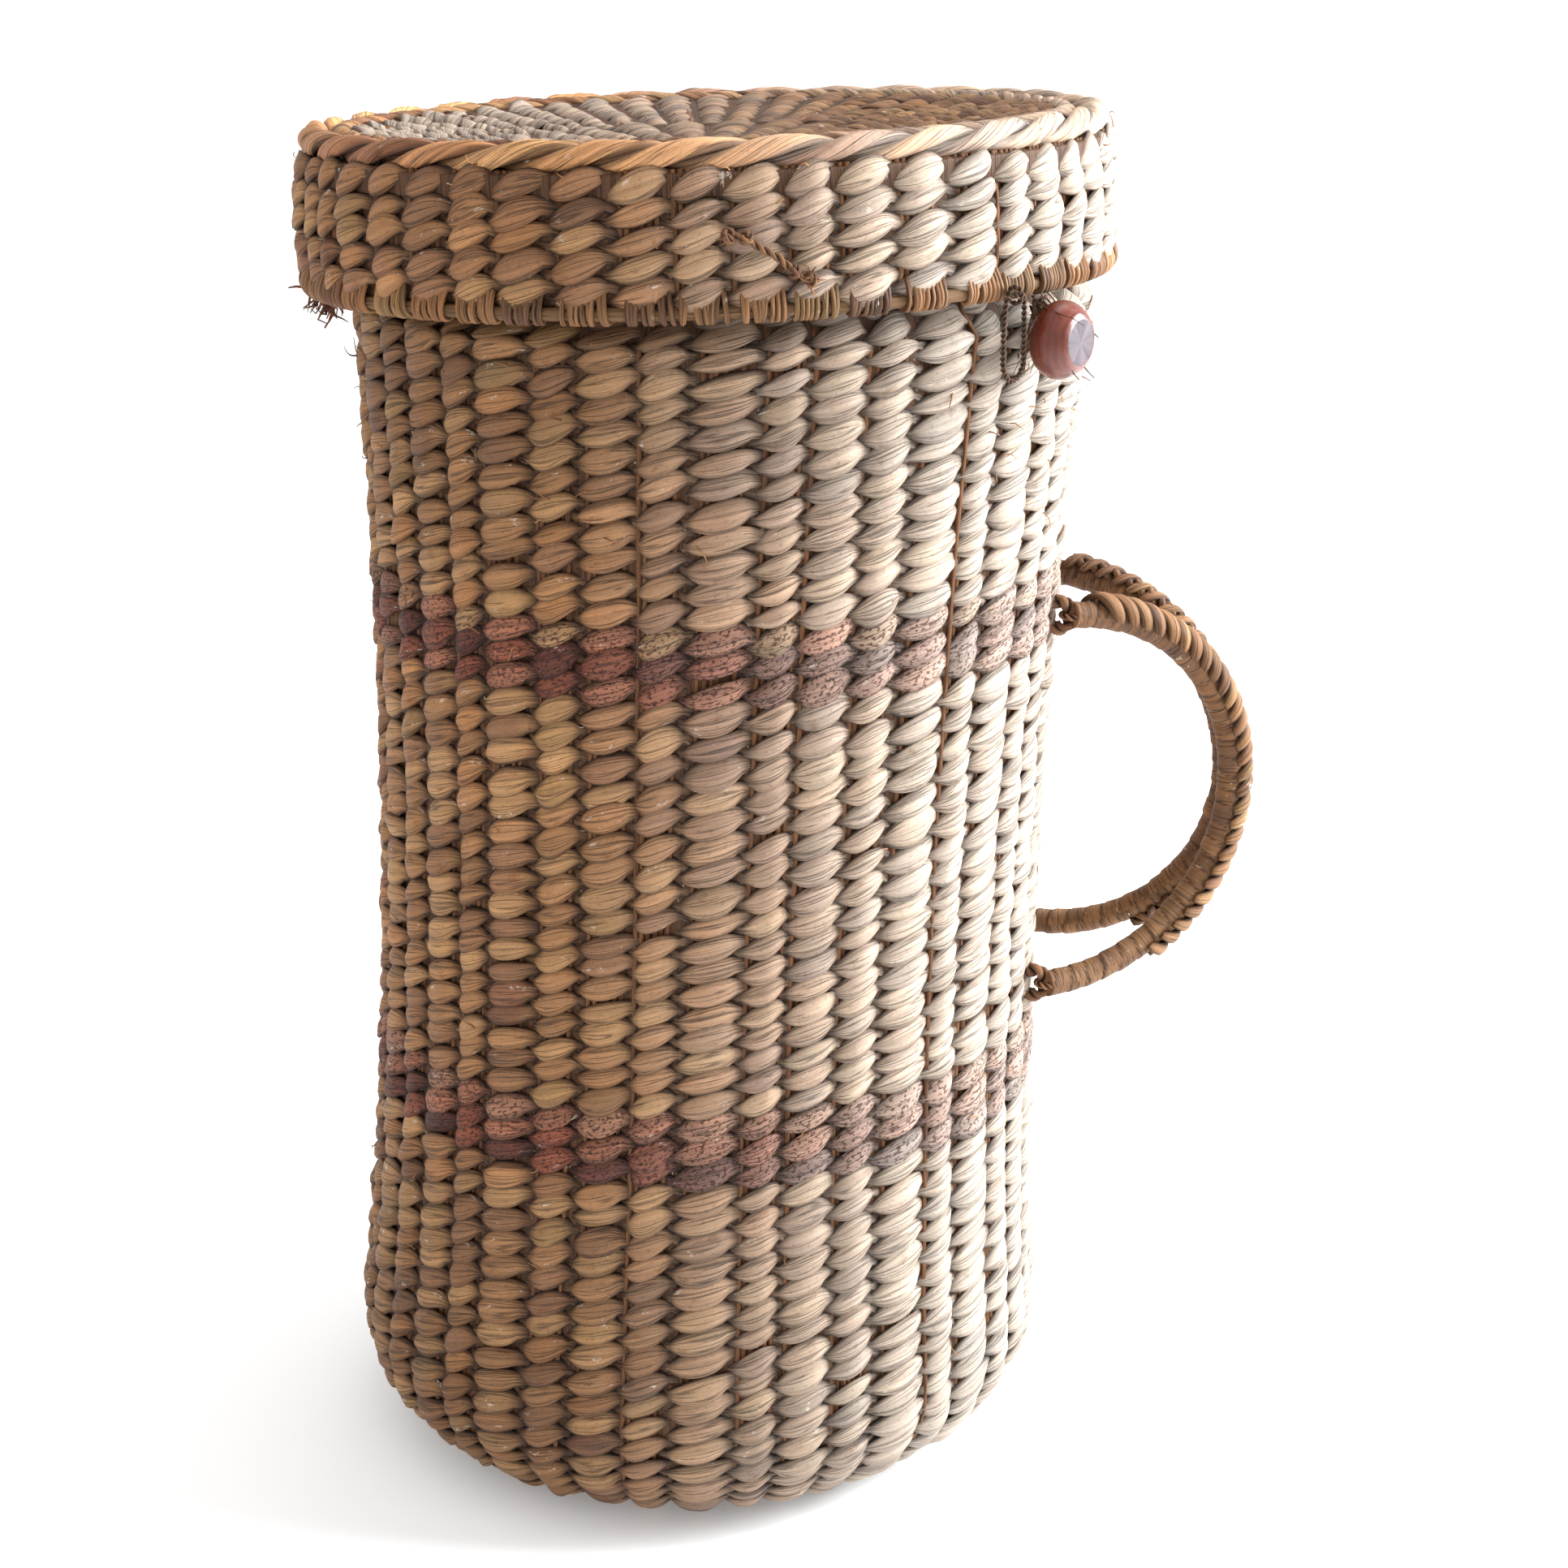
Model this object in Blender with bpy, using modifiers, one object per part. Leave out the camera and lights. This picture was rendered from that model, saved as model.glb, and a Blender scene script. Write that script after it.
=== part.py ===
"""Tall twined rush laundry basket: leaning round wall, overlapping lid tied on at the back,
two raffia hoops for a handle and a wooden knob that a cord loop closes over.

Metres, +Z up. The origin is the centre of the flat underside, the knob looks along +X
and the lid opens about an axis parallel to Y on the -X side.
"""
from math import acos, asin, atan2, cos, pi, radians, sin, sqrt

import bmesh
import bpy
from mathutils import Matrix, Vector

# Wall: outer radius by height, with the narrowest place at WAIST_Z
WAIST_Z = 0.280
WAIST_RADIUS = 0.1481
FLARE_BELOW = 0.2075
FLARE_ABOVE = 0.155
WEAVE = 0.0070
STAKE = 0.0030
STAKE_HALF_WIDTH = 0.0030
FACET_ROOM = 0.0013
GAP = 0.0003
SIDES = 36

# Foot and base
BASE_RADIUS = 0.105
FOOT_HEIGHT = 0.055
WALE = 0.0042

# Heights where the wall changes colour, then the neck that the lid covers
LOWER_BAND = (0.1707, 0.2025)
UPPER_BAND = (0.3779, 0.4097)
SHOULDER_Z = 0.520
NECK_Z = 0.530
NECK_TOP = 0.551
NECK_RADIUS = 0.147
RIM_ROPE = 0.0055

# The whole wall leans towards its handle
HANDLE_ANGLE = radians(40.0)
LEAN = 0.031
LEAN_X = LEAN * cos(HANDLE_ANGLE)
LEAN_Y = LEAN * sin(HANDLE_ANGLE)
STAKES = 42

# Lid, in its own frame: origin on its axis at the skirt's lower edge, tipped up at the knob
LID_CENTRE = Vector((0.0040, 0.0110, 0.5261))
LID_TIP = radians(-2.1)
SKIRT_LOW_RADIUS = 0.1720
SKIRT_MID_RADIUS = 0.1738
SKIRT_TOP_RADIUS = 0.1715
SKIRT_WALL = 0.0070
SKIRT_FOOT = 0.0063
SKIRT_MID_Z = 0.0300
SKIRT_TOP_Z = 0.0545
RIM_Z = 0.0613
RIM_RADIUS = 0.1625
RIM_THICK = 0.0064
BRAID_RADIUS = 0.1512
BRAID_Z = 0.0620
BRAID_THICK = 0.0048
DISC_RADIUS = 0.1455
DISC_EDGE_Z = 0.0668
DISC_DISH = 0.0135
DISC_WEAVE = 0.0060
LID_SPOKES = 48

# Back hinge: two cord eyes on one straight axis just outside the skirt
HINGE_X = -0.1730
HINGE_Z = 0.5180
HINGE_TIE_ANGLE = radians(17.0)
HINGE_CORD = 0.0016

# Handle: two hoops that lean together, each free to swing about the line through its ends
HOOP_SPREAD = radians(15.0)
HOOP_STANDOFF = 0.0070
HOOP_MID_Z = 0.3010
HOOP_HALF_HEIGHT = 0.0848
HOOP_CROWN_RADIUS = 0.2326
HOOP_CROWN_SIDE = 0.0068
HOOP_TUBE = 0.0063
HOOP_CORE = 0.0036
HOOP_WRAP = 0.0020
HOOP_RIDGE = 0.0028
EYE_RING = 0.0042
EYE_WIRE = 0.0016
TIE_CORD = 0.0017

# Knob and the closing loop beside it
KNOB_Z = 0.5150
KNOB_RADIUS = 0.0155
KNOB_LENGTH = 0.0170
KNOB_STANDOFF = 0.0057
KNOB_FACE = 0.0090
SHANK = 0.0030
LOOP_TO_KNOB = 0.0035
LOOP_DROP = 0.0330
LOOP_HALF_WIDTH = 0.0070
LOOP_CORD = 0.0013
STITCH_RING = 0.0031
STITCH_WIRE = 0.0011

STRAW = (0.56, 0.40, 0.21)
PALE_STRAW = (0.66, 0.52, 0.32)
STALK = (0.46, 0.32, 0.17)
DYED = (0.30, 0.12, 0.08)
TWINE = (0.25, 0.15, 0.09)
WOOD = (0.24, 0.07, 0.03)


def clear_scene():
    for obj in list(bpy.data.objects):
        bpy.data.objects.remove(obj, do_unlink=True)


def material(name, colour, roughness):
    mat = bpy.data.materials.new(name)
    mat.use_nodes = True
    shader = mat.node_tree.nodes["Principled BSDF"]
    shader.inputs["Base Color"].default_value = (*colour, 1.0)
    shader.inputs["Roughness"].default_value = roughness
    shader.inputs["Metallic"].default_value = 0.0
    mat.diffuse_color = (*colour, 1.0)
    return mat


def new_object(name, data, mat, parent=None):
    obj = bpy.data.objects.new(name, data)
    parts.objects.link(obj)
    obj.data.materials.clear()
    obj.data.materials.append(mat)
    obj.parent = parent
    return obj


def empty(name, location, parent=None):
    obj = bpy.data.objects.new(name, None)
    obj.empty_display_size = 0.02
    obj.location = location
    obj.parent = parent
    parts.objects.link(obj)
    return obj


def bake(obj):
    """Turn an object with modifiers, or a curve, into a plain welded mesh."""
    bpy.context.view_layer.update()
    evaluated = obj.evaluated_get(bpy.context.evaluated_depsgraph_get())
    mesh = bpy.data.meshes.new_from_object(evaluated)
    work = bmesh.new()
    work.from_mesh(mesh)
    bmesh.ops.remove_doubles(work, verts=work.verts, dist=0.00002)
    bmesh.ops.recalc_face_normals(work, faces=work.faces)
    work.to_mesh(mesh)
    work.free()
    baked = bpy.data.objects.new(obj.name + "_baked", mesh)
    parts.objects.link(baked)
    baked.parent = obj.parent
    baked.matrix_local = obj.matrix_local
    name = obj.name
    bpy.data.objects.remove(obj, do_unlink=True)
    baked.name = name
    mesh.name = name
    return baked


def turned(name, outline, mat, closed=True, parent=None, leaning=False, steps=SIDES):
    """A turned shape from (radius, height) points that run down the outer side first."""
    mesh = bpy.data.meshes.new(name)
    edges = [(i, i + 1) for i in range(len(outline) - 1)]
    if closed:
        edges.append((len(outline) - 1, 0))
    mesh.from_pydata([(radius, 0.0, height) for radius, height in outline], edges, [])
    obj = new_object(name, mesh, mat, parent)
    screw = obj.modifiers.new("Screw", "SCREW")
    screw.steps = steps
    screw.render_steps = steps
    screw.use_merge_vertices = True
    screw.merge_threshold = 0.00005
    if leaning:
        obj = bake(obj)
        obj.data.transform(Matrix.Shear("XY", 4, (LEAN_X, LEAN_Y)))
    return obj


def ring(name, centre_radius, centre_z, thickness, mat, parent=None, leaning=False, sides=6):
    """A rope laid in a circle."""
    outline = []
    for i in range(sides):
        angle = pi / 2 + pi / sides - 2 * pi * i / sides
        outline.append((centre_radius + thickness * cos(angle), centre_z + thickness * sin(angle)))
    return turned(name, outline, mat, parent=parent, leaning=leaning)


def cord(name, points, radius, mat, parent=None, cyclic=False, sides_step=1, caps=True):
    """A round cord through the given points."""
    curve = bpy.data.curves.new(name, "CURVE")
    curve.dimensions = "3D"
    curve.bevel_depth = radius
    curve.bevel_resolution = sides_step
    curve.use_fill_caps = caps and not cyclic
    spline = curve.splines.new("POLY")
    spline.points.add(len(points) - 1)
    for point, place in zip(spline.points, points):
        point.co = (*place, 1.0)
    spline.use_cyclic_u = cyclic
    return new_object(name, curve, mat, parent)


def wall_radius(z):
    flare = FLARE_BELOW if z < WAIST_Z else FLARE_ABOVE
    return WAIST_RADIUS + flare * (z - WAIST_Z) ** 2


def wall_centre(z):
    return Vector((LEAN_X * z, LEAN_Y * z, z))


def radial(angle):
    return Vector((cos(angle), sin(angle), 0.0))


def wall_point(angle, z, outward=0.0):
    """A point on the wall's outer face, or a given distance outside it."""
    return wall_centre(z) + radial(angle) * (wall_radius(z) + outward)


def foot_point(turn, inward):
    """The rounded foot: turn 0 is the flat underside's edge, 90 degrees meets the wall."""
    reach = wall_radius(FOOT_HEIGHT) - BASE_RADIUS
    normal = Vector((sin(turn) / reach, -cos(turn) / FOOT_HEIGHT)).normalized()
    place = Vector((BASE_RADIUS + reach * sin(turn), FOOT_HEIGHT * (1.0 - cos(turn))))
    return tuple(place - normal * inward)


def wall_band(name, low, high, mat, rings=2):
    """One stretch of the wall's twining, a plain ring with a little air to its neighbours."""
    heights = [high - GAP + (low - high + GAP) * i / (rings - 1) for i in range(rings)]
    outer = [(wall_radius(z), z) for z in heights]
    inner = [(wall_radius(z) - WEAVE, z) for z in reversed(heights)]
    return turned(name, outer + inner, mat, leaning=True)


def make_foot(mat):
    turns = [radians(90.0 - 90.0 * i / 5) for i in range(6)]
    top = LOWER_BAND[0] - GAP
    heights = [top, (top + FOOT_HEIGHT) / 2]
    outer = [(wall_radius(z), z) for z in heights] + [foot_point(t, 0.0) for t in turns]
    inner = [foot_point(t, WEAVE) for t in reversed(turns)]
    inner += [(wall_radius(z) - WEAVE, z) for z in reversed(heights)]
    turned("wall_lower", outer + inner, mat, leaning=True)
    ring_radius = BASE_RADIUS - WALE - GAP
    wale = [(ring_radius + WALE, WEAVE - WALE / 3), (ring_radius + WALE, WALE / 3)]
    wale += [(ring_radius + WALE / 2, 0.0), (ring_radius - WALE / 2, 0.0)]
    wale += [(ring_radius - WALE, WALE / 3), (ring_radius - WALE, WEAVE - WALE / 3)]
    wale += [(ring_radius - WALE / 2, WEAVE), (ring_radius + WALE / 2, WEAVE)]
    turned("foot_wale", wale, mat, leaning=True)
    edge = ring_radius - WALE - GAP
    disc = [(0.0, WEAVE), (edge, WEAVE), (edge, 0.0), (0.0, 0.0)]
    turned("base_disc", disc, mat, closed=False)


def make_wall(straw, dyed, stalk):
    wall_band("dyed_band_lower", *LOWER_BAND, dyed)
    wall_band("wall_middle", LOWER_BAND[1], UPPER_BAND[0], straw, rings=4)
    wall_band("dyed_band_upper", *UPPER_BAND, dyed)
    wall_band("wall_upper", UPPER_BAND[1], SHOULDER_Z, straw, rings=3)
    neck_inner = NECK_RADIUS - WEAVE
    neck = [(NECK_RADIUS, NECK_TOP), (NECK_RADIUS, NECK_Z), (wall_radius(SHOULDER_Z), SHOULDER_Z)]
    neck += [(wall_radius(SHOULDER_Z) - WEAVE, SHOULDER_Z), (neck_inner, NECK_Z), (neck_inner, NECK_TOP)]
    turned("neck_wall", neck, straw, leaning=True)
    rope_radius = NECK_RADIUS - RIM_ROPE + 0.001
    ring("rim_rope", rope_radius, NECK_TOP + GAP + RIM_ROPE, RIM_ROPE, stalk, leaning=True)


def spoked(name, hub_radius, low, thick, count, stations, mat, parent=None):
    """A hub whose every second side face is drawn out into one bent stalk.

    Each station is (outer face (radius, height), inner face (radius, height), half width).
    """
    mesh = bpy.data.meshes.new(name)
    work = bmesh.new()
    bmesh.ops.create_cone(
        work, cap_ends=True, segments=2 * count, radius1=hub_radius, radius2=hub_radius,
        depth=thick, matrix=Matrix.Translation((0.0, 0.0, low + thick / 2)))
    sides = [face for face in work.faces if len(face.verts) == 4]
    sides.sort(key=lambda face: atan2(face.calc_center_median().y, face.calc_center_median().x))
    for face in sides[::2]:
        middle = face.calc_center_median()
        outward = Vector((middle.x, middle.y, 0.0)).normalized()
        across = Vector((-outward.y, outward.x, 0.0))
        corners = [(vert.co.z > middle.z, (vert.co - middle).dot(across) > 0.0) for vert in face.verts]
        tip = face
        for outer, inner, half in stations:
            tip = bmesh.ops.extrude_discrete_faces(work, faces=[tip])["faces"][0]
            for vert, (upper, left) in zip(tip.verts, corners):
                radius, height = inner if upper else outer
                vert.co = outward * radius + across * (half if left else -half)
                vert.co.z = height
    bmesh.ops.recalc_face_normals(work, faces=work.faces)
    work.to_mesh(mesh)
    work.free()
    return new_object(name, mesh, mat, parent)


def make_stakes(mat):
    """The upright stakes, one piece with the spokes they grow from under the base."""
    near = WEAVE + GAP
    clear = near + FACET_ROOM
    far = clear + STAKE
    edge = BASE_RADIUS - 0.012
    stations = [((edge, near), (edge, near + STAKE), STAKE_HALF_WIDTH)]
    for turn in (radians(45.0), radians(90.0)):
        stations.append((foot_point(turn, clear), foot_point(turn, far), STAKE_HALF_WIDTH))
    for z in (0.150, WAIST_Z - 0.050, 0.340, 0.440, SHOULDER_Z - 0.004):
        stations.append(((wall_radius(z) - clear, z), (wall_radius(z) - far, z), STAKE_HALF_WIDTH))
    for z in (NECK_Z + 0.001, NECK_TOP - 0.002):
        stations.append(((NECK_RADIUS - clear, z), (NECK_RADIUS - far, z), STAKE_HALF_WIDTH))
    cage = spoked("stake_cage", 0.030, near, STAKE, STAKES, stations, mat)
    cage.data.transform(Matrix.Shear("XY", 4, (LEAN_X, LEAN_Y)))


def disc_height(radius):
    return DISC_EDGE_Z - DISC_DISH * (1.0 - (radius / DISC_RADIUS) ** 2)


def make_lid(frame, straw, stalk, twine):
    radii = [DISC_RADIUS * i / 3 for i in range(4)]
    top = [(radius, disc_height(radius)) for radius in radii]
    below = [(radius, disc_height(radius) - DISC_WEAVE) for radius in reversed(radii)]
    turned("lid_disc", top + below, straw, closed=False, parent=frame)
    ring("lid_inner_braid", BRAID_RADIUS, BRAID_Z, BRAID_THICK, stalk, parent=frame)
    ring("lid_rim_rope", RIM_RADIUS + GAP, RIM_Z, RIM_THICK, straw, parent=frame)
    outer = [(SKIRT_TOP_RADIUS, SKIRT_TOP_Z), (SKIRT_MID_RADIUS, SKIRT_MID_Z)]
    outer.append((SKIRT_LOW_RADIUS, SKIRT_FOOT))
    inner = [(radius - SKIRT_WALL, z) for radius, z in reversed(outer)]
    turned("skirt_weave", outer + inner, straw, parent=frame)
    border = SKIRT_FOOT / 2 - GAP
    ring("skirt_border", SKIRT_LOW_RADIUS - border, border, border, stalk, parent=frame)
    low = disc_height(0.0) - DISC_WEAVE - GAP - STAKE
    stations = []
    for radius in radii[1:]:
        place = min(radius, DISC_RADIUS - 0.001)
        high = disc_height(place) - DISC_WEAVE - 2 * GAP
        stations.append(((place, high - STAKE), (place, high), 0.0026))
    spoked("lid_spokes", 0.036, low, STAKE, LID_SPOKES, stations, stalk, parent=frame)
    make_skirt_tie(frame, twine)


def make_skirt_tie(frame, mat):
    """A short knotted end of twine lying on the front of the skirt."""
    middle = radians(-43.0)
    points = []
    for step, z in ((-0.085, 0.033), (-0.045, 0.029), (0.0, 0.025), (0.045, 0.020), (0.085, 0.016)):
        place = radial(middle + step) * (SKIRT_MID_RADIUS + 0.0016 + 3 * GAP)
        points.append((place.x, place.y, z))
    cord("skirt_tie", points, 0.0016, mat, parent=frame)


def make_hinges(lid_frame, mat):
    """Cord staples out of the wall, and a cord loop through the skirt that turns on each."""
    for name, side in (("left", -1.0), ("right", 1.0)):
        y = LID_CENTRE.y + side * SKIRT_LOW_RADIUS * sin(HINGE_TIE_ANGLE)
        legs = []
        for across in (-0.0055, 0.0055):
            low = SHOULDER_Z - 0.012
            reach = sqrt((wall_radius(low) + 0.0012) ** 2 - (y + across - LEAN_Y * low) ** 2)
            foot = Vector((LEAN_X * low - reach, y + across, low))
            legs.append((foot, Vector((HINGE_X, y + across, HINGE_Z))))
        points = [legs[0][0], legs[0][1], legs[1][1], legs[1][0]]
        cord("hinge_cord_" + name, points, HINGE_CORD, mat)
        lid_edge = lid_frame.matrix_world @ Vector((-SKIRT_LOW_RADIUS * cos(HINGE_TIE_ANGLE), 0.0, 0.004))
        near = lid_edge.x - HINGE_CORD - 3 * GAP
        far = HINGE_X - 2.6 * HINGE_CORD
        half = 2.6 * HINGE_CORD
        oval = []
        for i in range(12):
            turn = 2 * pi * i / 12
            middle_x = near - half if cos(turn) > 0 else far + half
            oval.append((middle_x + half * cos(turn), y, HINGE_Z + half * sin(turn)))
        cord("hinge_loop_" + name, oval, HINGE_CORD, mat, cyclic=True)


def knot(name, angle, z, radius, mat):
    """A flattened knot behind a cord that passes through the wall."""
    work = bmesh.new()
    bmesh.ops.create_icosphere(work, subdivisions=1, radius=radius)
    mesh = bpy.data.meshes.new(name)
    work.to_mesh(mesh)
    work.free()
    obj = new_object(name, mesh, mat)
    obj.location = wall_point(angle, z, -(WEAVE + STAKE + 2 * GAP + 0.001 + radius))
    return obj


def make_hoop(name, side, straw, stalk, twine):
    """One hoop: stiff core, raffia wrap, braided ridge, and a small eye at each end."""
    chord_angle = HANDLE_ANGLE + side * HOOP_SPREAD
    half = HOOP_HALF_HEIGHT
    low = wall_point(chord_angle, HOOP_MID_Z - half, HOOP_STANDOFF)
    high = wall_point(chord_angle, HOOP_MID_Z + half, HOOP_STANDOFF)
    middle = (low + high) / 2
    up = (high - low).normalized()
    crown = wall_centre(HOOP_MID_Z) + radial(HANDLE_ANGLE) * HOOP_CROWN_RADIUS
    crown += Vector((-sin(HANDLE_ANGLE), cos(HANDLE_ANGLE), 0.0)) * side * HOOP_CROWN_SIDE
    outward = crown - middle
    outward -= up * outward.dot(up)
    reach = outward.length
    outward.normalize()
    pivot = empty(name, middle)
    pivot.rotation_mode = "QUATERNION"
    frame = Matrix((outward, up.cross(outward), up)).transposed()
    pivot.rotation_quaternion = frame.to_quaternion()

    def along(turn, offset=0.0):
        place = Vector((reach * cos(turn), 0.0, half * sin(turn)))
        normal = Vector((cos(turn) / reach, 0.0, sin(turn) / half)).normalized()
        return place + normal * offset

    first = acos((EYE_RING + EYE_WIRE + GAP) / reach)
    turns = [-first + 2 * first * i / 13 for i in range(14)]
    line = [along(turn) for turn in turns]
    cord(name + "_core", line, HOOP_CORE, stalk, parent=pivot, sides_step=1)
    wrap = cord(name + "_wrap", line, HOOP_TUBE, straw, parent=pivot, sides_step=2, caps=False)
    wrap = bake(wrap)
    shell = wrap.modifiers.new("Solidify", "SOLIDIFY")
    shell.thickness = HOOP_WRAP
    shell.offset = -1.0
    ridge_line = [along(turn, HOOP_TUBE + HOOP_RIDGE + GAP) for turn in turns[1:-1]]
    cord(name + "_ridge", ridge_line, HOOP_RIDGE, straw, parent=pivot, sides_step=1)
    for end, z in (("top", half), ("bottom", -half)):
        points = [(EYE_RING * cos(2 * pi * i / 10), EYE_RING * sin(2 * pi * i / 10), z) for i in range(10)]
        cord(name + "_eye_" + end, points, EYE_WIRE, stalk, parent=pivot, cyclic=True, sides_step=0)
        make_hoop_tie(name + "_tie_" + end, chord_angle, middle + up * z, up, twine)
        knot(name + "_knot_" + end, chord_angle, (middle + up * z).z, 0.0045, twine)


def make_hoop_tie(name, angle, centre, up, mat):
    """A cord out of the wall, through the hoop's eye and back into the wall."""
    half = 0.0058
    points = []
    into_wall = HOOP_STANDOFF - 0.0012
    for lift, inward in ((half, into_wall), (half, 0.0), (-half, 0.0), (-half, into_wall)):
        points.append(centre + up * lift - radial(angle) * inward)
    cord(name, points, TIE_CORD, mat)


def make_knob(wood, twine):
    start = wall_point(0.0, KNOB_Z, 0.0012)
    back = wall_point(0.0, KNOB_Z, KNOB_STANDOFF)
    pivot = empty("knob_axis", back)
    pivot.rotation_euler = (0.0, radians(90.0), 0.0)
    depth = 0.009
    hole = SHANK + 0.0006
    outline = [(0.0, KNOB_LENGTH), (KNOB_FACE, KNOB_LENGTH)]
    for i in range(6):
        height = 0.92 - 0.92 * i / 5
        bulge = sqrt(1.0 - (2.0 * height - 0.92) ** 2 * 0.55)
        outline.append((KNOB_RADIUS * bulge, KNOB_LENGTH * height))
    outline += [(hole, 0.0), (hole, depth), (0.0, depth)]
    turned("knob", outline, wood, closed=False, parent=pivot, steps=20)
    cord("knob_shank", [start, back + Vector((depth - GAP, 0.0, 0.0))], SHANK, twine, sides_step=2)
    knot("knob_knot", 0.0, KNOB_Z, 0.0050, twine)


def make_closing_loop(lid_frame, mat):
    """A loop of cord that hangs unhooked beside the knob, through a stitch on the skirt."""
    knob_edge = wall_point(0.0, KNOB_Z).y - KNOB_RADIUS
    loop_y = knob_edge - LOOP_TO_KNOB - LOOP_CORD - LOOP_HALF_WIDTH
    angle = asin((loop_y - LID_CENTRE.y) / SKIRT_LOW_RADIUS)
    edge = lid_frame.matrix_world @ (radial(angle) * SKIRT_LOW_RADIUS + Vector((0.0, 0.0, 0.003)))
    bar = Vector((edge.x + STITCH_RING + STITCH_WIRE + 2 * GAP, edge.y, edge.z))
    pivot = empty("closing_loop_axis", bar)
    points = [(0.0, -LOOP_HALF_WIDTH, 0.0), (0.0, 0.0, 0.0), (0.0, LOOP_HALF_WIDTH, 0.0)]
    for i in range(7):
        turn = pi * i / 6
        low = -LOOP_DROP + LOOP_HALF_WIDTH * (1.0 - sin(turn))
        points.append((0.0, LOOP_HALF_WIDTH * cos(turn), low))
    cord("closing_loop", points, LOOP_CORD, mat, parent=pivot, cyclic=True)
    circle = [2 * pi * i / 10 for i in range(10)]
    stitch = [bar + Vector((STITCH_RING * cos(t), 0.0, STITCH_RING * sin(t))) for t in circle]
    cord("loop_stitch", stitch, STITCH_WIRE, mat, cyclic=True, sides_step=0)


def main():
    straw = material("straw", STRAW, 0.75)
    pale = material("pale_straw", PALE_STRAW, 0.75)
    stalk = material("stalk", STALK, 0.80)
    dyed = material("dyed_straw", DYED, 0.70)
    twine = material("twine", TWINE, 0.85)
    wood = material("polished_wood", WOOD, 0.35)
    make_foot(straw)
    make_wall(straw, dyed, stalk)
    make_stakes(stalk)
    lid_frame = empty("lid_frame", LID_CENTRE)
    lid_frame.rotation_euler = (0.0, LID_TIP, 0.0)
    bpy.context.view_layer.update()
    make_lid(lid_frame, straw, stalk, twine)
    make_hinges(lid_frame, twine)
    for side in (-1.0, 1.0):
        name = "handle_front" if side < 0 else "handle_rear"
        make_hoop(name, side, pale, stalk, twine)
    for side, name in ((-1.0, "hinge_knot_left"), (1.0, "hinge_knot_right")):
        knot(name, pi - side * HINGE_TIE_ANGLE, SHOULDER_Z - 0.012, 0.0040, twine)
    make_knob(wood, twine)
    make_closing_loop(lid_frame, twine)


clear_scene()
parts = bpy.data.collections.new("rush_laundry_basket")
bpy.context.scene.collection.children.link(parts)
main()
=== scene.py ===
"""Looks of the tall twined rush laundry basket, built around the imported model."""
from math import acos, asin, cos, pi, radians, sin, sqrt

import bpy
import numpy as np
from mathutils import Matrix, Vector


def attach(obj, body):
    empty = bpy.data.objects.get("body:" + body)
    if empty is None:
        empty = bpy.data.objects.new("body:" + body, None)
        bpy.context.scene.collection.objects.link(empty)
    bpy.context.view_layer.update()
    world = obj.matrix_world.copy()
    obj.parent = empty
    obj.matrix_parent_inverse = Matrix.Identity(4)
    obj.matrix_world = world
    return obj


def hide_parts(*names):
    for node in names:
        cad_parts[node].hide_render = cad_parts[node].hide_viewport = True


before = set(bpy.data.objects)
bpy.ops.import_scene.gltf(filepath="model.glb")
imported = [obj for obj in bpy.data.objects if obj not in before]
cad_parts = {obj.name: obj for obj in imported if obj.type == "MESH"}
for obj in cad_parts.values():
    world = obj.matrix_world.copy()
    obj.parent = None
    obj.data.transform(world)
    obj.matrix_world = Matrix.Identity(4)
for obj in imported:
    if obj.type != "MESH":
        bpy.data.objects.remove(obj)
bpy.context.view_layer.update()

rng = np.random.default_rng(11)

# ---------------------------------------------------------------- shape of the basket, metres
WAIST_Z = 0.280
WAIST_RADIUS = 0.1481
FLARE_BELOW = 0.2075
FLARE_ABOVE = 0.155
BASE_RADIUS = 0.105
FOOT_HEIGHT = 0.055
LOWER_BAND = (0.1707, 0.2025)
UPPER_BAND = (0.3779, 0.4097)
SHOULDER_Z = 0.520
NECK_Z = 0.530
NECK_TOP = 0.551
NECK_RADIUS = 0.147
RIM_ROPE = 0.0055
HANDLE_ANGLE = radians(40.0)
LEAN = 0.031
STAKES = 42

LID_STAKES = 48
LID_FRAME = Matrix.Translation((0.0040, 0.0110, 0.5261)) @ Matrix.Rotation(radians(-2.1), 4, "Y")
SKIRT = ((0.1720, 0.0063), (0.1738, 0.0300), (0.1715, 0.0545))
RIM_RADIUS = 0.1625
RIM_Z = 0.0613
RIM_THICK = 0.0064
BRAID_RADIUS = 0.1512
BRAID_Z = 0.0620
BRAID_THICK = 0.0048
DISC_RADIUS = 0.1455
DISC_EDGE_Z = 0.0668
DISC_DISH = 0.0135

HOOP_SPREAD = radians(15.0)
HOOP_STANDOFF = 0.0070
HOOP_MID_Z = 0.3010
HOOP_HALF_HEIGHT = 0.0848
HOOP_CROWN_RADIUS = 0.2326
HOOP_CROWN_SIDE = 0.0068
HOOP_TUBE = 0.0063
HOOP_RIDGE = 0.0028

WALL_HALF = 0.0052


def linear(r, g, b):
    """Screen colour, 0 to 255, to the linear colour that Blender's nodes take."""
    return np.array([((c / 255 + 0.055) / 1.055) ** 2.4 for c in (r, g, b)])


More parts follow.
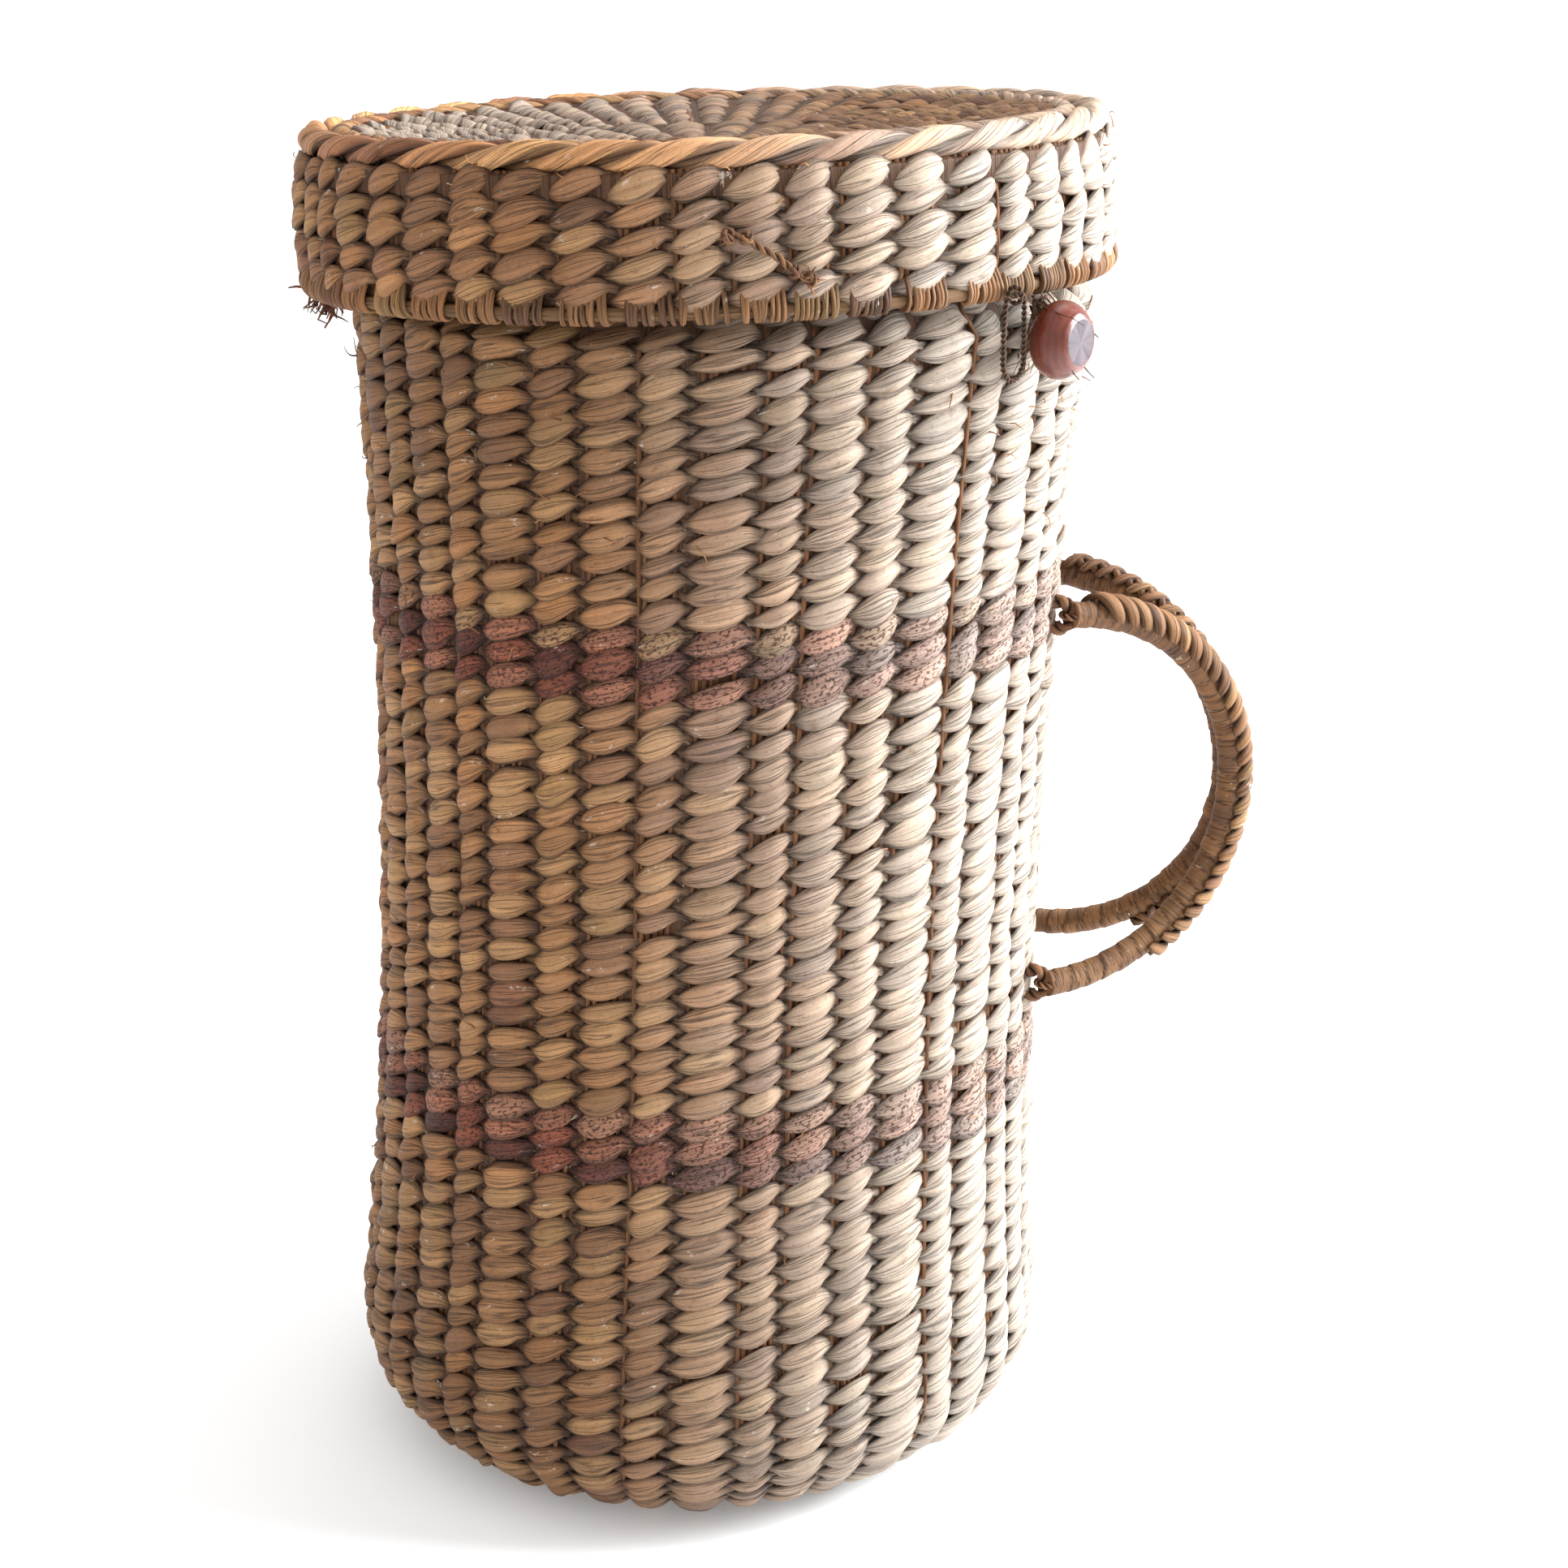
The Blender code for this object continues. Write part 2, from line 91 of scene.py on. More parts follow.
STRAWS = np.array([
    linear(153, 109, 70), linear(166, 124, 82), linear(155, 107, 66), linear(138, 97, 66),
    linear(158, 119, 76), linear(145, 101, 66), linear(161, 115, 74), linear(124, 82, 55)])
STRAW_SHARE = (0.26, 0.22, 0.10, 0.10, 0.06, 0.11, 0.11, 0.04)
# painted light: the pale colour laid on the side that faces the key lamp
LIT_SIDE_PALE = linear(203, 196, 184)
SHADOW = linear(40, 20, 9)
DYES = {
    "red": linear(126, 68, 46), "dark": linear(98, 50, 36), "rose": linear(148, 94, 69),
    "pink": linear(156, 110, 84)}
TWINE = linear(96, 66, 44)
# the stalks' own colour, darkened as painted shade for stakes seen deep in the weave
SHADED_STALK = linear(112, 73, 43)
RUST = linear(112, 66, 42)


def wall_radius(z):
    flare = np.where(z < WAIST_Z, FLARE_BELOW, FLARE_ABOVE)
    return WAIST_RADIUS + flare * (z - WAIST_Z) ** 2


def smooth(low, high, value):
    t = np.clip((value - low) / (high - low), 0.0, 1.0)
    return t * t * (3.0 - 2.0 * t)


# ---------------------------------------------------------------- surfaces that weaving is laid on
class Skin:
    """A surface of revolution: a (radius, height) line, and distances along it."""

    def __init__(self, profile, lean=0.0, matrix=None):
        self.line = np.array(profile, float)
        steps = np.linalg.norm(np.diff(self.line, axis=0), axis=1)
        self.length = np.concatenate([[0.0], np.cumsum(steps)])
        slope = np.gradient(self.line, self.length, axis=0)
        self.slope = slope / np.linalg.norm(slope, axis=1)[:, None]
        self.lean = lean
        self.matrix = None if matrix is None else np.array(matrix)

    def radius(self, distance):
        return np.interp(distance, self.length, self.line[:, 0])

    def place(self, angle, distance, outward):
        """World positions from angle, distance along the line and height off the surface."""
        keep = np.clip(distance, 0.0, self.length[-1])
        dr = np.interp(keep, self.length, self.slope[:, 0])
        dz = np.interp(keep, self.length, self.slope[:, 1])
        radius = np.interp(keep, self.length, self.line[:, 0]) + (distance - keep) * dr + outward * dz
        height = np.interp(keep, self.length, self.line[:, 1]) + (distance - keep) * dz - outward * dr
        x = radius * np.cos(angle) + self.lean * cos(HANDLE_ANGLE) * height
        y = radius * np.sin(angle) + self.lean * sin(HANDLE_ANGLE) * height
        points = np.stack([x, y, height + 0.0 * x], axis=-1)
        if self.matrix is not None:
            points = points @ self.matrix[:3, :3].T + self.matrix[:3, 3]
        return points


BASE_POINTS = 12


def body_skin():
    """Underside, rounded foot, wall and neck in one line, from the middle of the base up."""
    line = [(0.002 + r, 0.0038 * (1.0 - (r / BASE_RADIUS) ** 2) + 0.0008)
            for r in np.linspace(0.0, BASE_RADIUS - 0.002, BASE_POINTS)]
    reach = float(wall_radius(FOOT_HEIGHT)) - BASE_RADIUS
    for turn in np.radians(np.linspace(8.0, 90.0, 14)):
        line.append((BASE_RADIUS + reach * sin(turn), 0.0008 + (FOOT_HEIGHT - 0.0008) * (1.0 - cos(turn))))
    line += [(float(wall_radius(z)), z) for z in np.linspace(FOOT_HEIGHT + 0.008, SHOULDER_Z, 50)]
    line += [(NECK_RADIUS + 0.0015, NECK_Z - 0.002), (NECK_RADIUS, NECK_Z + 0.004), (NECK_RADIUS, NECK_TOP)]
    return Skin(line, lean=LEAN)


def lid_skins():
    (low, low_z), (middle, middle_z), (top, top_z) = SKIRT
    heights = np.linspace(low_z - 0.002, top_z + 0.003, 24)
    bow = np.polyfit([low_z, middle_z, top_z], [low, middle, top], 2)
    skirt = Skin([(float(np.polyval(bow, z)), z) for z in heights], matrix=LID_FRAME)
    radii = np.linspace(DISC_RADIUS + 0.002, 0.003, 30)
    disc = [(r, DISC_EDGE_Z - DISC_DISH * (1.0 - (r / DISC_RADIUS) ** 2)) for r in radii]
    return skirt, Skin(disc, matrix=LID_FRAME)


# ---------------------------------------------------------------- meshes out of grids of points
class Build:
    """Collects tubes as grids of points, each with a UV in metres and a colour."""

    def __init__(self):
        self.points = []
        self.colours = []
        self.loops = []
        self.sizes = []
        self.uvs = []
        self.count = 0

    def tube(self, grid, along, around, colour, closed=False):
        """grid (steps, sides, 3); along (steps, or one more if closed); around (sides + 1)."""
        steps, sides = grid.shape[:2]
        index = self.count + np.arange(steps * sides).reshape(steps, sides)
        rows = steps if closed else steps - 1
        i, j = np.meshgrid(np.arange(rows), np.arange(sides), indexing="ij")
        nexti, nextj = (i + 1) % steps, (j + 1) % sides
        quads = np.stack([index[i, j], index[nexti, j], index[nexti, nextj], index[i, nextj]], -1)
        uv = np.stack([
            np.stack([along[i], around[j]], -1), np.stack([along[i + 1], around[j]], -1),
            np.stack([along[i + 1], around[j + 1]], -1), np.stack([along[i], around[j + 1]], -1)], 2)
        self.loops.append(quads.reshape(-1))
        self.sizes.append(np.full(rows * sides, 4))
        self.uvs.append(uv.reshape(-1, 2))
        if not closed:
            for ring, at in ((index[0], along[0]), (index[-1][::-1], along[-1])):
                self.loops.append(ring)
                self.sizes.append(np.array([sides]))
                self.uvs.append(np.stack([np.full(sides, at), around[:sides]], -1))
        self.points.append(grid.reshape(-1, 3))
        self.colours.append(np.broadcast_to(colour, (steps, sides, 3)).reshape(-1, 3))
        self.count += steps * sides

    def piece(self, name, material, body, *nodes, slot="straw"):
        """The finished mesh as an object that rides on a body and stands for CAD nodes."""
        mesh = bpy.data.meshes.new(name)
        points = np.concatenate(self.points)
        loops = np.concatenate(self.loops)
        sizes = np.concatenate(self.sizes)
        mesh.vertices.add(len(points))
        mesh.vertices.foreach_set("co", points.astype(np.float32).ravel())
        mesh.loops.add(len(loops))
        mesh.loops.foreach_set("vertex_index", loops.astype(np.int32))
        mesh.polygons.add(len(sizes))
        starts = np.concatenate([[0], np.cumsum(sizes)[:-1]])
        mesh.polygons.foreach_set("loop_start", starts.astype(np.int32))
        mesh.update(calc_edges=True)
        layer = mesh.uv_layers.new(name="UVMap")
        layer.data.foreach_set("uv", np.concatenate(self.uvs).astype(np.float32).ravel())
        tone = mesh.attributes.new("tone", "FLOAT_COLOR", "POINT")
        colours = np.concatenate([np.concatenate(self.colours), np.ones((len(points), 1))], axis=1)
        tone.data.foreach_set("color", colours.astype(np.float32).ravel())
        mesh.shade_smooth()
        mesh.materials.append(material)
        obj = bpy.data.objects.new(name, mesh)
        bpy.context.scene.collection.objects.link(obj)
        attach(obj, body)
        if nodes:
            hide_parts(*nodes)
        return obj


# ---------------------------------------------------------------- colours of the strands
def straw_tones(rows, stretches, spread=0.09, run=0.35):
    """One colour for each stretch of each row: leaves run on for a few stitches."""
    pick = rng.choice(len(STRAWS), size=(rows, stretches), p=STRAW_SHARE)
    keep = rng.random((rows, stretches)) < run
    for i in range(2, stretches):
        pick[:, i] = np.where(keep[:, i], pick[:, i - 2], pick[:, i])
    tones = STRAWS[pick]
    return tones * (1.0 + spread * rng.standard_normal((rows, stretches, 1)))


def dyed_tones(names, stretches):
    rows = []
    for name in names:
        base = np.repeat(DYES[name][None], stretches, 0)
        rows.append(base * (1.0 + 0.13 * rng.standard_normal((stretches, 1))))
    return np.array(rows)


def foot_dark_and_lid_shade(height):
    """Darker towards the foot, and painted shade just under the lid."""
    return 1.0 - 0.30 * (1.0 - smooth(0.0, 0.30, height)) - 0.20 * smooth(0.42, 0.50, height)


def paint_side_light(points, colour, amount, towards=HANDLE_ANGLE):
    """Painted light: paler on the side that faces the key lamp, the handle side unless told otherwise."""
    side = np.clip((points[..., 0] * cos(towards) + points[..., 1] * sin(towards)) / 0.135, -1.0, 1.0)
    share = (amount * smooth(-0.45, 1.0, side))[..., None]
    return colour * (1.0 - share) + LIT_SIDE_PALE * share


# ---------------------------------------------------------------- twining
OUT_STEPS = 10
IN_STEPS = 6
SIDES = 12


def hold(values, where, stretch):
    """Each stretch's own value, eased into its neighbours' where the strand changes sides."""
    count = values.shape[1]
    after = 0.5 * smooth(0.84, 1.0, where)
    before = 0.5 * smooth(0.16, 0.0, where)
    shape = (1, -1) + (1,) * (values.ndim - 2)
    own = (1.0 - after - before).reshape(shape) * values[:, stretch % count]
    near = after.reshape(shape) * values[:, (stretch + 1) % count]
    return own + near + before.reshape(shape) * values[:, (stretch - 1) % count]


def twine(build, skin, rows, pitch, stakes, tones, wander, swing=0.0030, thick=0.0022, rise=0.31,
          full=0.62, bias=0.06, ragged=0.0005, side_light=0.62, towards=HANDLE_ANGLE,
          foot_dark_lid_shade=False):
    """Rows of two strands twisted about each other round every stake.

    rows are distances along the skin. tones has a colour for (row, strand, stretch).
    """
    rows = np.asarray(rows, float)
    count = len(rows)
    cell = 2.0 * pi / stakes
    pattern = np.concatenate([
        np.linspace(-0.5, 0.5, OUT_STEPS, endpoint=False), np.linspace(0.5, 1.5, IN_STEPS, endpoint=False)])
    base = (pattern[None] + 2.0 * np.arange(stakes // 2)[:, None]).ravel()
    turn = 2.0 * pi * np.arange(SIDES) / SIDES
    wave = rng.random((count, 3)) * 2 * pi
    for strand in (0, 1):
        stretch = np.floor(base + 0.5 + 1e-6).astype(int)
        where = base + 0.5 - stretch
        place = base + strand
        phase = pi * (place - bias * np.sin(pi * place) - strand)
        height = hold(1.0 + 0.11 * rng.standard_normal((count, stakes)).clip(-2.4, 1.6), where, stretch)
        lift = hold(ragged * rng.standard_normal((count, stakes)), where, stretch)
        bulge = hold(0.0004 * rng.standard_normal((count, stakes)), where, stretch)
        roll = hold(0.10 + 0.12 * rng.standard_normal((count, stakes)), where, stretch)
        crease = hold(1.0 + 0.075 * rng.standard_normal((count, stakes, SIDES)), where, stretch)
        tone = hold(tones[:, strand], where, stretch)
        c, s = np.cos(phase - 0.20), np.sin(phase)
        s = 0.25 * s + 0.75 * np.arcsin(s) / (pi / 2)
        body = np.abs(np.cos(phase - 0.20)) ** 0.8
        half_height = pitch * full * (0.30 + 0.70 * body) * height
        half_thick = thick * (0.55 + 0.45 * body) * np.ones_like(height)
        centre_out = swing * c * (1.2 - 0.2 * c * c) + bulge
        angle = (place + np.interp(place % stakes, np.arange(stakes + 1), wander)) * cell
        drift = 0.0006 * (np.sin(2 * angle + wave[:, :1]) + 0.7 * np.sin(5 * angle + wave[:, 1:2]))
        centre_up = rows[:, None] + rise * pitch * s + lift + drift
        out = half_thick[..., None] * np.cos(turn) * crease
        up = half_height[..., None] * np.sin(turn) * crease
        outward = centre_out[..., None] + out * np.cos(roll)[..., None] - up * np.sin(roll)[..., None]
        across = centre_up[..., None] + up * np.cos(roll)[..., None] + out * np.sin(roll)[..., None]
        grid = skin.place(angle[None, :, None], across, outward - WALL_HALF)
        deep = 1.0 - smooth(0.0002, 0.0036, np.abs(outward))
        edge = smooth(0.72, 1.0, np.abs(np.sin(turn)))[None, None]
        shade = np.clip(0.85 * deep + 0.68 * edge, 0.0, 0.95)[..., None]
        colour = tone[:, :, None] * (1.0 - shade) + SHADOW * shade
        # darker towards the foot, and painted shade just under the lid
        if foot_dark_lid_shade:
            colour = colour * foot_dark_and_lid_shade(grid[..., 2])[..., None]
        # painted light: the outer faces are paled towards the key lamp, less where painted shade lies
        side_light_share = side_light * (1.0 - 0.8 * shade[..., 0]) * smooth(-0.0010, 0.0012, outward)
        colour = paint_side_light(grid, colour, side_light_share, towards)
        size = float(skin.radius(rows.mean())) * cell
        along = np.append(base, base[0] + stakes) * size
        around = np.arange(SIDES + 1) / SIDES * pitch * 3.0
        for row in range(count):
            shift = rng.random() * 4.0
            build.tube(grid[row], along + shift, around, colour[row], closed=True)


def stakes_in(build, skin, low, high, stakes, wander, depth=WALL_HALF, fibres=6, spacing=0.0028,
              radius=0.00122, step=0.012):
    """Bundles of thin stalks that run across the rows inside the weave."""
    cell = 2.0 * pi / stakes
    distance = np.linspace(low, high, max(4, int((high - low) / step)))
    turn = 2.0 * pi * np.arange(6) / 6
    around = np.arange(7) * radius
    for stake in range(stakes):
        for fibre in range(fibres):
            aside = (fibre - (fibres - 1) / 2) * spacing
            bend = np.cumsum(rng.normal(0, 0.00016, len(distance)))
            side = aside + bend - bend.mean()
            inward = depth + rng.normal(0, 0.0003)
            room = np.maximum(skin.radius(distance), 0.01)
            centre = (stake + wander[stake]) * cell
            angle = centre + (side[:, None] + radius * np.sin(turn)) / room[:, None]
            outward = radius * np.cos(turn) - inward + 0.0 * angle
            grid = skin.place(angle, distance[:, None] + 0.0 * angle, outward)
            # painted shade: the stakes take the darkened stalk colour
            tone = SHADED_STALK * (1.0 + 0.16 * rng.standard_normal())
            build.tube(grid[:, ::-1], distance + rng.random(), around, tone)


def shade_sheet(build, skin, low, high, depth=WALL_HALF):
    """A thin continuous sheet, half the stalks' colour, behind the stitches: painted shade for the gaps between them.
    """
    there = np.linspace(low, high, 34)
    distance = np.concatenate([there, there[::-1]])[:, None]
    inward = np.concatenate([np.full(34, depth - 0.0002), np.full(34, depth + 0.0002)])[:, None]
    angle = (2.0 * pi * np.arange(144) / 144)[None]
    grid = skin.place(angle + 0.0 * distance, distance + 0.0 * angle, 0.0 * angle - inward)
    around = np.arange(145) / 144 * 2.0 * pi * float(skin.radius(0.5 * (low + high)))
    # painted shade: the sheet is half the stalks' colour so the gaps read dark
    build.tube(grid, np.append(distance[:, 0], low), around, SHADED_STALK * 0.5, closed=True)


# ---------------------------------------------------------------- ropes, cords and wraps along a path
def frames(path, closed):
    """Tangents and two normals that don't twist along a path."""
    if closed:
        tangent = np.roll(path, -1, 0) - np.roll(path, 1, 0)
    else:
        tangent = np.gradient(path, axis=0)
    tangent /= np.linalg.norm(tangent, axis=1)[:, None]
    first = np.cross(tangent[0], (0.0, 0.0, 1.0))
    if np.linalg.norm(first) < 0.2:
        first = np.cross(tangent[0], (0.0, 1.0, 0.0))
    normal = [first / np.linalg.norm(first)]
    for t in tangent[1:]:
        n = normal[-1] - t * np.dot(normal[-1], t)
        normal.append(n / np.linalg.norm(n))
    normal = np.array(normal)
    return tangent, normal, np.cross(tangent, normal)


def even(path, count, closed=False):
    """The same line with points at even distances."""
    path = np.asarray(path, float)
    if closed:
        path = np.vstack([path, path[:1]])
    length = np.concatenate([[0.0], np.cumsum(np.linalg.norm(np.diff(path, axis=0), axis=1))])
    at = np.linspace(0.0, length[-1], count, endpoint=not closed)
    return np.stack([np.interp(at, length, path[:, k]) for k in range(3)], -1), length[-1]


def curve(points, count):
    """A smooth line through points, by Catmull-Rom."""
    p = np.asarray(points, float)
    p = np.vstack([2 * p[0] - p[1], p, 2 * p[-1] - p[-2]])
    line = []
    for i in range(1, len(p) - 2):
        for t in np.linspace(0.0, 1.0, 12, endpoint=False):
            a = 2 * p[i] + (p[i + 1] - p[i - 1]) * t
            b = (2 * p[i - 1] - 5 * p[i] + 4 * p[i + 1] - p[i + 2]) * t * t
            d = (3 * p[i] - p[i - 1] - 3 * p[i + 1] + p[i + 2]) * t ** 3
            line.append((a + b + d) / 2)
    line.append(p[-2])
    return even(line, count)[0]


def rope(build, path, radius, strands, pitch, tones, closed=False, hand=1.0, sides=10, step=0.0022,
         flat=1.0, rough=0.07, side_light=0.0):
    """Strands laid round each other along a path, a new colour every turn or so."""
    path, length = even(path, 400, closed)
    count = max(8, int(length / step))
    path, length = even(path, count, closed)
    tangent, normal, binormal = frames(path, closed)
    turns = max(1, round(length / pitch)) if closed else length / pitch
    travel = np.arange(count) / (count if closed else count - 1)
    around = np.arange(sides + 1) / sides * radius * 4.0
    turn = 2.0 * pi * np.arange(sides) / sides
    for strand in range(strands):
        phase = 2.0 * pi * (turns * travel + strand / strands) * hand
        out = np.cos(phase)[:, None] * normal + np.sin(phase)[:, None] * binormal
        side = np.cos(phase)[:, None] * binormal - np.sin(phase)[:, None] * normal
        spacing = radius * (0.50 if strands > 2 else 0.46)
        stretches = int(turns) if closed else int(turns) + 3
        knots = turns * travel + strand / strands + (0.625 if hand > 0 else 0.375)
        own = np.floor(knots).astype(int) % stretches
        tone = tones[rng.integers(0, len(tones), stretches)] * rng.normal(1.0, 0.10, (stretches, 1))
        crease = 1.0 + rough * rng.standard_normal((stretches, sides))
        blend = smooth(0.85, 1.0, knots % 1.0)[:, None]
        crease = crease[own] * (1.0 - blend) + crease[(own + 1) % stretches] * blend
        tone = tone[own] * (1.0 - blend) + tone[(own + 1) % stretches] * blend
        thick = radius * 0.50 * (1.0 + 0.06 * np.sin(2.0 * pi * 5.0 * travel + strand))
        width = thick * (1.30 if strands > 2 else 1.12) * flat
        offset = (thick[:, None] * np.cos(turn) * crease)[..., None] * out[:, None]
        offset += (width[:, None] * np.sin(turn) * crease)[..., None] * side[:, None]
        grid = path[:, None] + spacing * out[:, None] + offset
        shade = np.clip(0.75 * smooth(0.3, -0.7, np.cos(turn)), 0, 1)[None, :, None]
        colour = tone[:, None] * (1.0 - shade) + SHADOW * shade
        # painted light: paler on the side that faces the key lamp
        if side_light:
            colour = paint_side_light(grid, colour, side_light)
        along = np.append(travel * length, length) + rng.random() * 3.0
        build.tube(grid, along, around, colour, closed=closed)


def strand(build, path, radius, tone, sides=6, taper=0.0, step=0.003):
    """One plain fibre or cord, which may thin out towards its far end."""
    path, length = even(path, max(4, int(np.linalg.norm(np.diff(path, axis=0), axis=1).sum() / step)))
    tangent, normal, binormal = frames(path, False)
    turn = 2.0 * pi * np.arange(sides) / sides
    size = radius * (1.0 - taper * np.linspace(0.0, 1.0, len(path)) ** 1.5)
    ring = np.cos(turn)[None, :, None] * normal[:, None] + np.sin(turn)[None, :, None] * binormal[:, None]
    grid = path[:, None] + size[:, None, None] * ring
    along = np.linspace(0.0, length, len(path)) + rng.random()
    build.tube(grid, along, np.arange(sides + 1) * radius, tone)


def wrapped(build, path, radius, width, tones, relief=0.11, sides=24, steps=11, twist=1.0):
    """A stem wound with a flat strip of leaf, each turn lapping over the last."""
    path, length = even(path, 300)
    count = int(length / width * steps)
    path, length = even(path, count)
    tangent, normal, binormal = frames(path, False)
    turn = 2.0 * pi * np.arange(sides) / sides
    wraps = int(length / width) + 3
    slack = np.cumsum(1.0 + 0.16 * rng.standard_normal(wraps * 4).clip(-2, 2)) / 1.0
    travel = np.linspace(0.0, length / width, count)[:, None] + twist * turn[None] / (2 * pi)
    travel = np.interp(travel, np.arange(len(slack)) , slack - slack[0])
    index = np.floor(travel).astype(int)
    part = travel - index
    own = rng.standard_normal(len(slack) * 2)
    bump = relief * (smooth(0.0, 0.16, part) - 0.80 * part) + 0.022 * own[index % len(own)]
    size = radius * (0.93 + bump)
    ring = np.cos(turn)[None, :, None] * normal[:, None] + np.sin(turn)[None, :, None] * binormal[:, None]
    grid = path[:, None] + size[..., None] * ring
    pick = rng.integers(0, len(tones), len(slack) * 2)
    tone = tones[pick[index % len(pick)]] * (1.0 + 0.09 * own[index % len(own)])[..., None]
    groove = (1.0 - smooth(0.0, 0.13, part))[..., None] * 0.85
    colour = tone * (1.0 - groove) + SHADOW * groove
    along = np.arange(sides + 1) / sides * radius * 6.3
    # the leaf's fibres run round the stem, so UV along and around change places
    swapped = np.linspace(0.0, length, count)
    steps_uv = Build()
    steps_uv.count = build.count
    steps_uv.tube(grid, swapped, along, colour)
    steps_uv.uvs = [uv[:, ::-1] for uv in steps_uv.uvs]
    build.points += steps_uv.points
    build.colours += steps_uv.colours
    build.loops += steps_uv.loops
    build.sizes += steps_uv.sizes
    build.uvs += steps_uv.uvs
    build.count = steps_uv.count


# ---------------------------------------------------------------- materials
class Nodes:
    """A short way to write a material's node tree."""

    def __init__(self, name):
        self.material = bpy.data.materials.new(name)
        self.material.use_nodes = True
        self.tree = self.material.node_tree
        self.shader = self.tree.nodes["Principled BSDF"]

    def link(self, value, socket):
        if isinstance(value, bpy.types.NodeSocket):
            self.tree.links.new(value, socket)
        else:
            socket.default_value = value

    def add(self, kind, **inputs):
        node = self.tree.nodes.new(kind)
        for name, value in inputs.items():
            self.link(value, node.inputs[name.replace("_", " ")])
        return node

    def scaled(self, x, y, z=1.0):
        """UV position, in metres, times a scale for each direction."""
        coordinates = self.tree.nodes.new("ShaderNodeUVMap")
        coordinates.uv_map = "UVMap"
        mapping = self.add("ShaderNodeMapping", Vector=coordinates.outputs["UV"], Scale=(x, y, z))
        return mapping.outputs["Vector"]

    def noise(self, vector, scale=1.0, detail=3.0, roughness=0.6):
        node = self.add("ShaderNodeTexNoise", Vector=vector, Scale=scale, Detail=detail, Roughness=roughness)
        return node.outputs["Fac"]

    def ramp(self, value, low, high, out_low=0.0, out_high=1.0):
        node = self.tree.nodes.new("ShaderNodeMapRange")
        node.interpolation_type = "SMOOTHSTEP"
        self.link(value, node.inputs["Value"])
        node.inputs["From Min"].default_value = low
        node.inputs["From Max"].default_value = high
        node.inputs["To Min"].default_value = out_low
        node.inputs["To Max"].default_value = out_high
        return node.outputs["Result"]

    def mix(self, share, first, second, kind="MIX"):
        node = self.tree.nodes.new("ShaderNodeMix")
        node.data_type = "RGBA"
        node.blend_type = kind
        self.link(share, node.inputs[0])
        for value, socket in ((first, node.inputs[6]), (second, node.inputs[7])):
            if not isinstance(value, bpy.types.NodeSocket):
                value = (*value, 1.0)
            self.link(value, socket)
        return node.outputs[2]

    def math(self, kind, first, second=0.5):
        node = self.tree.nodes.new("ShaderNodeMath")
        node.operation = kind
        self.link(first, node.inputs[0])
        self.link(second, node.inputs[1])
        return node.outputs[0]

    def tone(self):
        node = self.tree.nodes.new("ShaderNodeAttribute")
        node.attribute_name = "tone"
        return node.outputs["Color"]

    def bump(self, height, strength, distance):
        node = self.add("ShaderNodeBump", Height=height, Strength=strength, Distance=distance)
        self.link(node.outputs["Normal"], self.shader.inputs["Normal"])


def leaf_material(name, specks=0.25, wash=0.35, roughness=0.62, fibre=1.0, relief=0.9, rare=0.61):
    """Dried leaf: lengthwise fibres, creases, paler worn patches and dark specks."""
    n = Nodes(name)
    broad = n.noise(n.scaled(14.0, 420.0 * fibre), detail=3.0)
    fine = n.noise(n.scaled(40.0, 1900.0 * fibre), detail=4.0, roughness=0.7)
    patch = n.noise(n.scaled(75.0, 130.0), detail=4.0, roughness=0.65)
    dots = n.noise(n.scaled(480.0, 780.0), detail=1.0)
    streaks = n.ramp(broad, 0.32, 0.68, 0.78, 1.14)
    threads = n.ramp(fine, 0.30, 0.70, 0.80, 1.14)
    folds = n.noise(n.scaled(9.0, 260.0 * fibre), detail=2.0)
    lines = n.ramp(n.math("ABSOLUTE", n.math("SUBTRACT", folds, 0.5)), 0.0, 0.028, 0.42, 1.0)
    both = n.math("MULTIPLY", n.math("MULTIPLY", streaks, threads), lines)
    grey = n.add("ShaderNodeCombineColor", Red=both, Green=both, Blue=both).outputs["Color"]
    colour = n.mix(1.0, n.tone(), grey, "MULTIPLY")
    pale = n.mix(1.0, colour, (1.50, 1.54, 1.60), "MULTIPLY")
    colour = n.mix(n.ramp(patch, 0.56, 0.74, 0.0, wash), colour, pale)
    dark = n.mix(1.0, colour, (0.62, 0.52, 0.45), "MULTIPLY")
    colour = n.mix(n.ramp(patch, 0.44, 0.28, 0.0, 0.75), colour, dark)
    spot = n.mix(1.0, colour, (0.26, 0.18, 0.15), "MULTIPLY")
    colour = n.mix(n.ramp(dots, rare, rare + 0.04, 0.0, specks), colour, spot)
    flakes = n.noise(n.scaled(80.0, 150.0), detail=7.0, roughness=0.75)
    colour = n.mix(n.ramp(flakes, 0.62, 0.66, 0.0, 0.60), colour, (0.62, 0.54, 0.45))
    n.link(colour, n.shader.inputs["Base Color"])
    n.link(n.ramp(fine, 0.3, 0.7, roughness - 0.10, roughness + 0.14), n.shader.inputs["Roughness"])
    n.shader.inputs["Specular IOR Level"].default_value = 0.30
    height = n.math("ADD", n.math("MULTIPLY", broad, 0.35), n.math("MULTIPLY", fine, 0.40))
    n.bump(n.math("ADD", height, n.math("MULTIPLY", lines, 0.5)), relief, 0.0011)
    return n.material


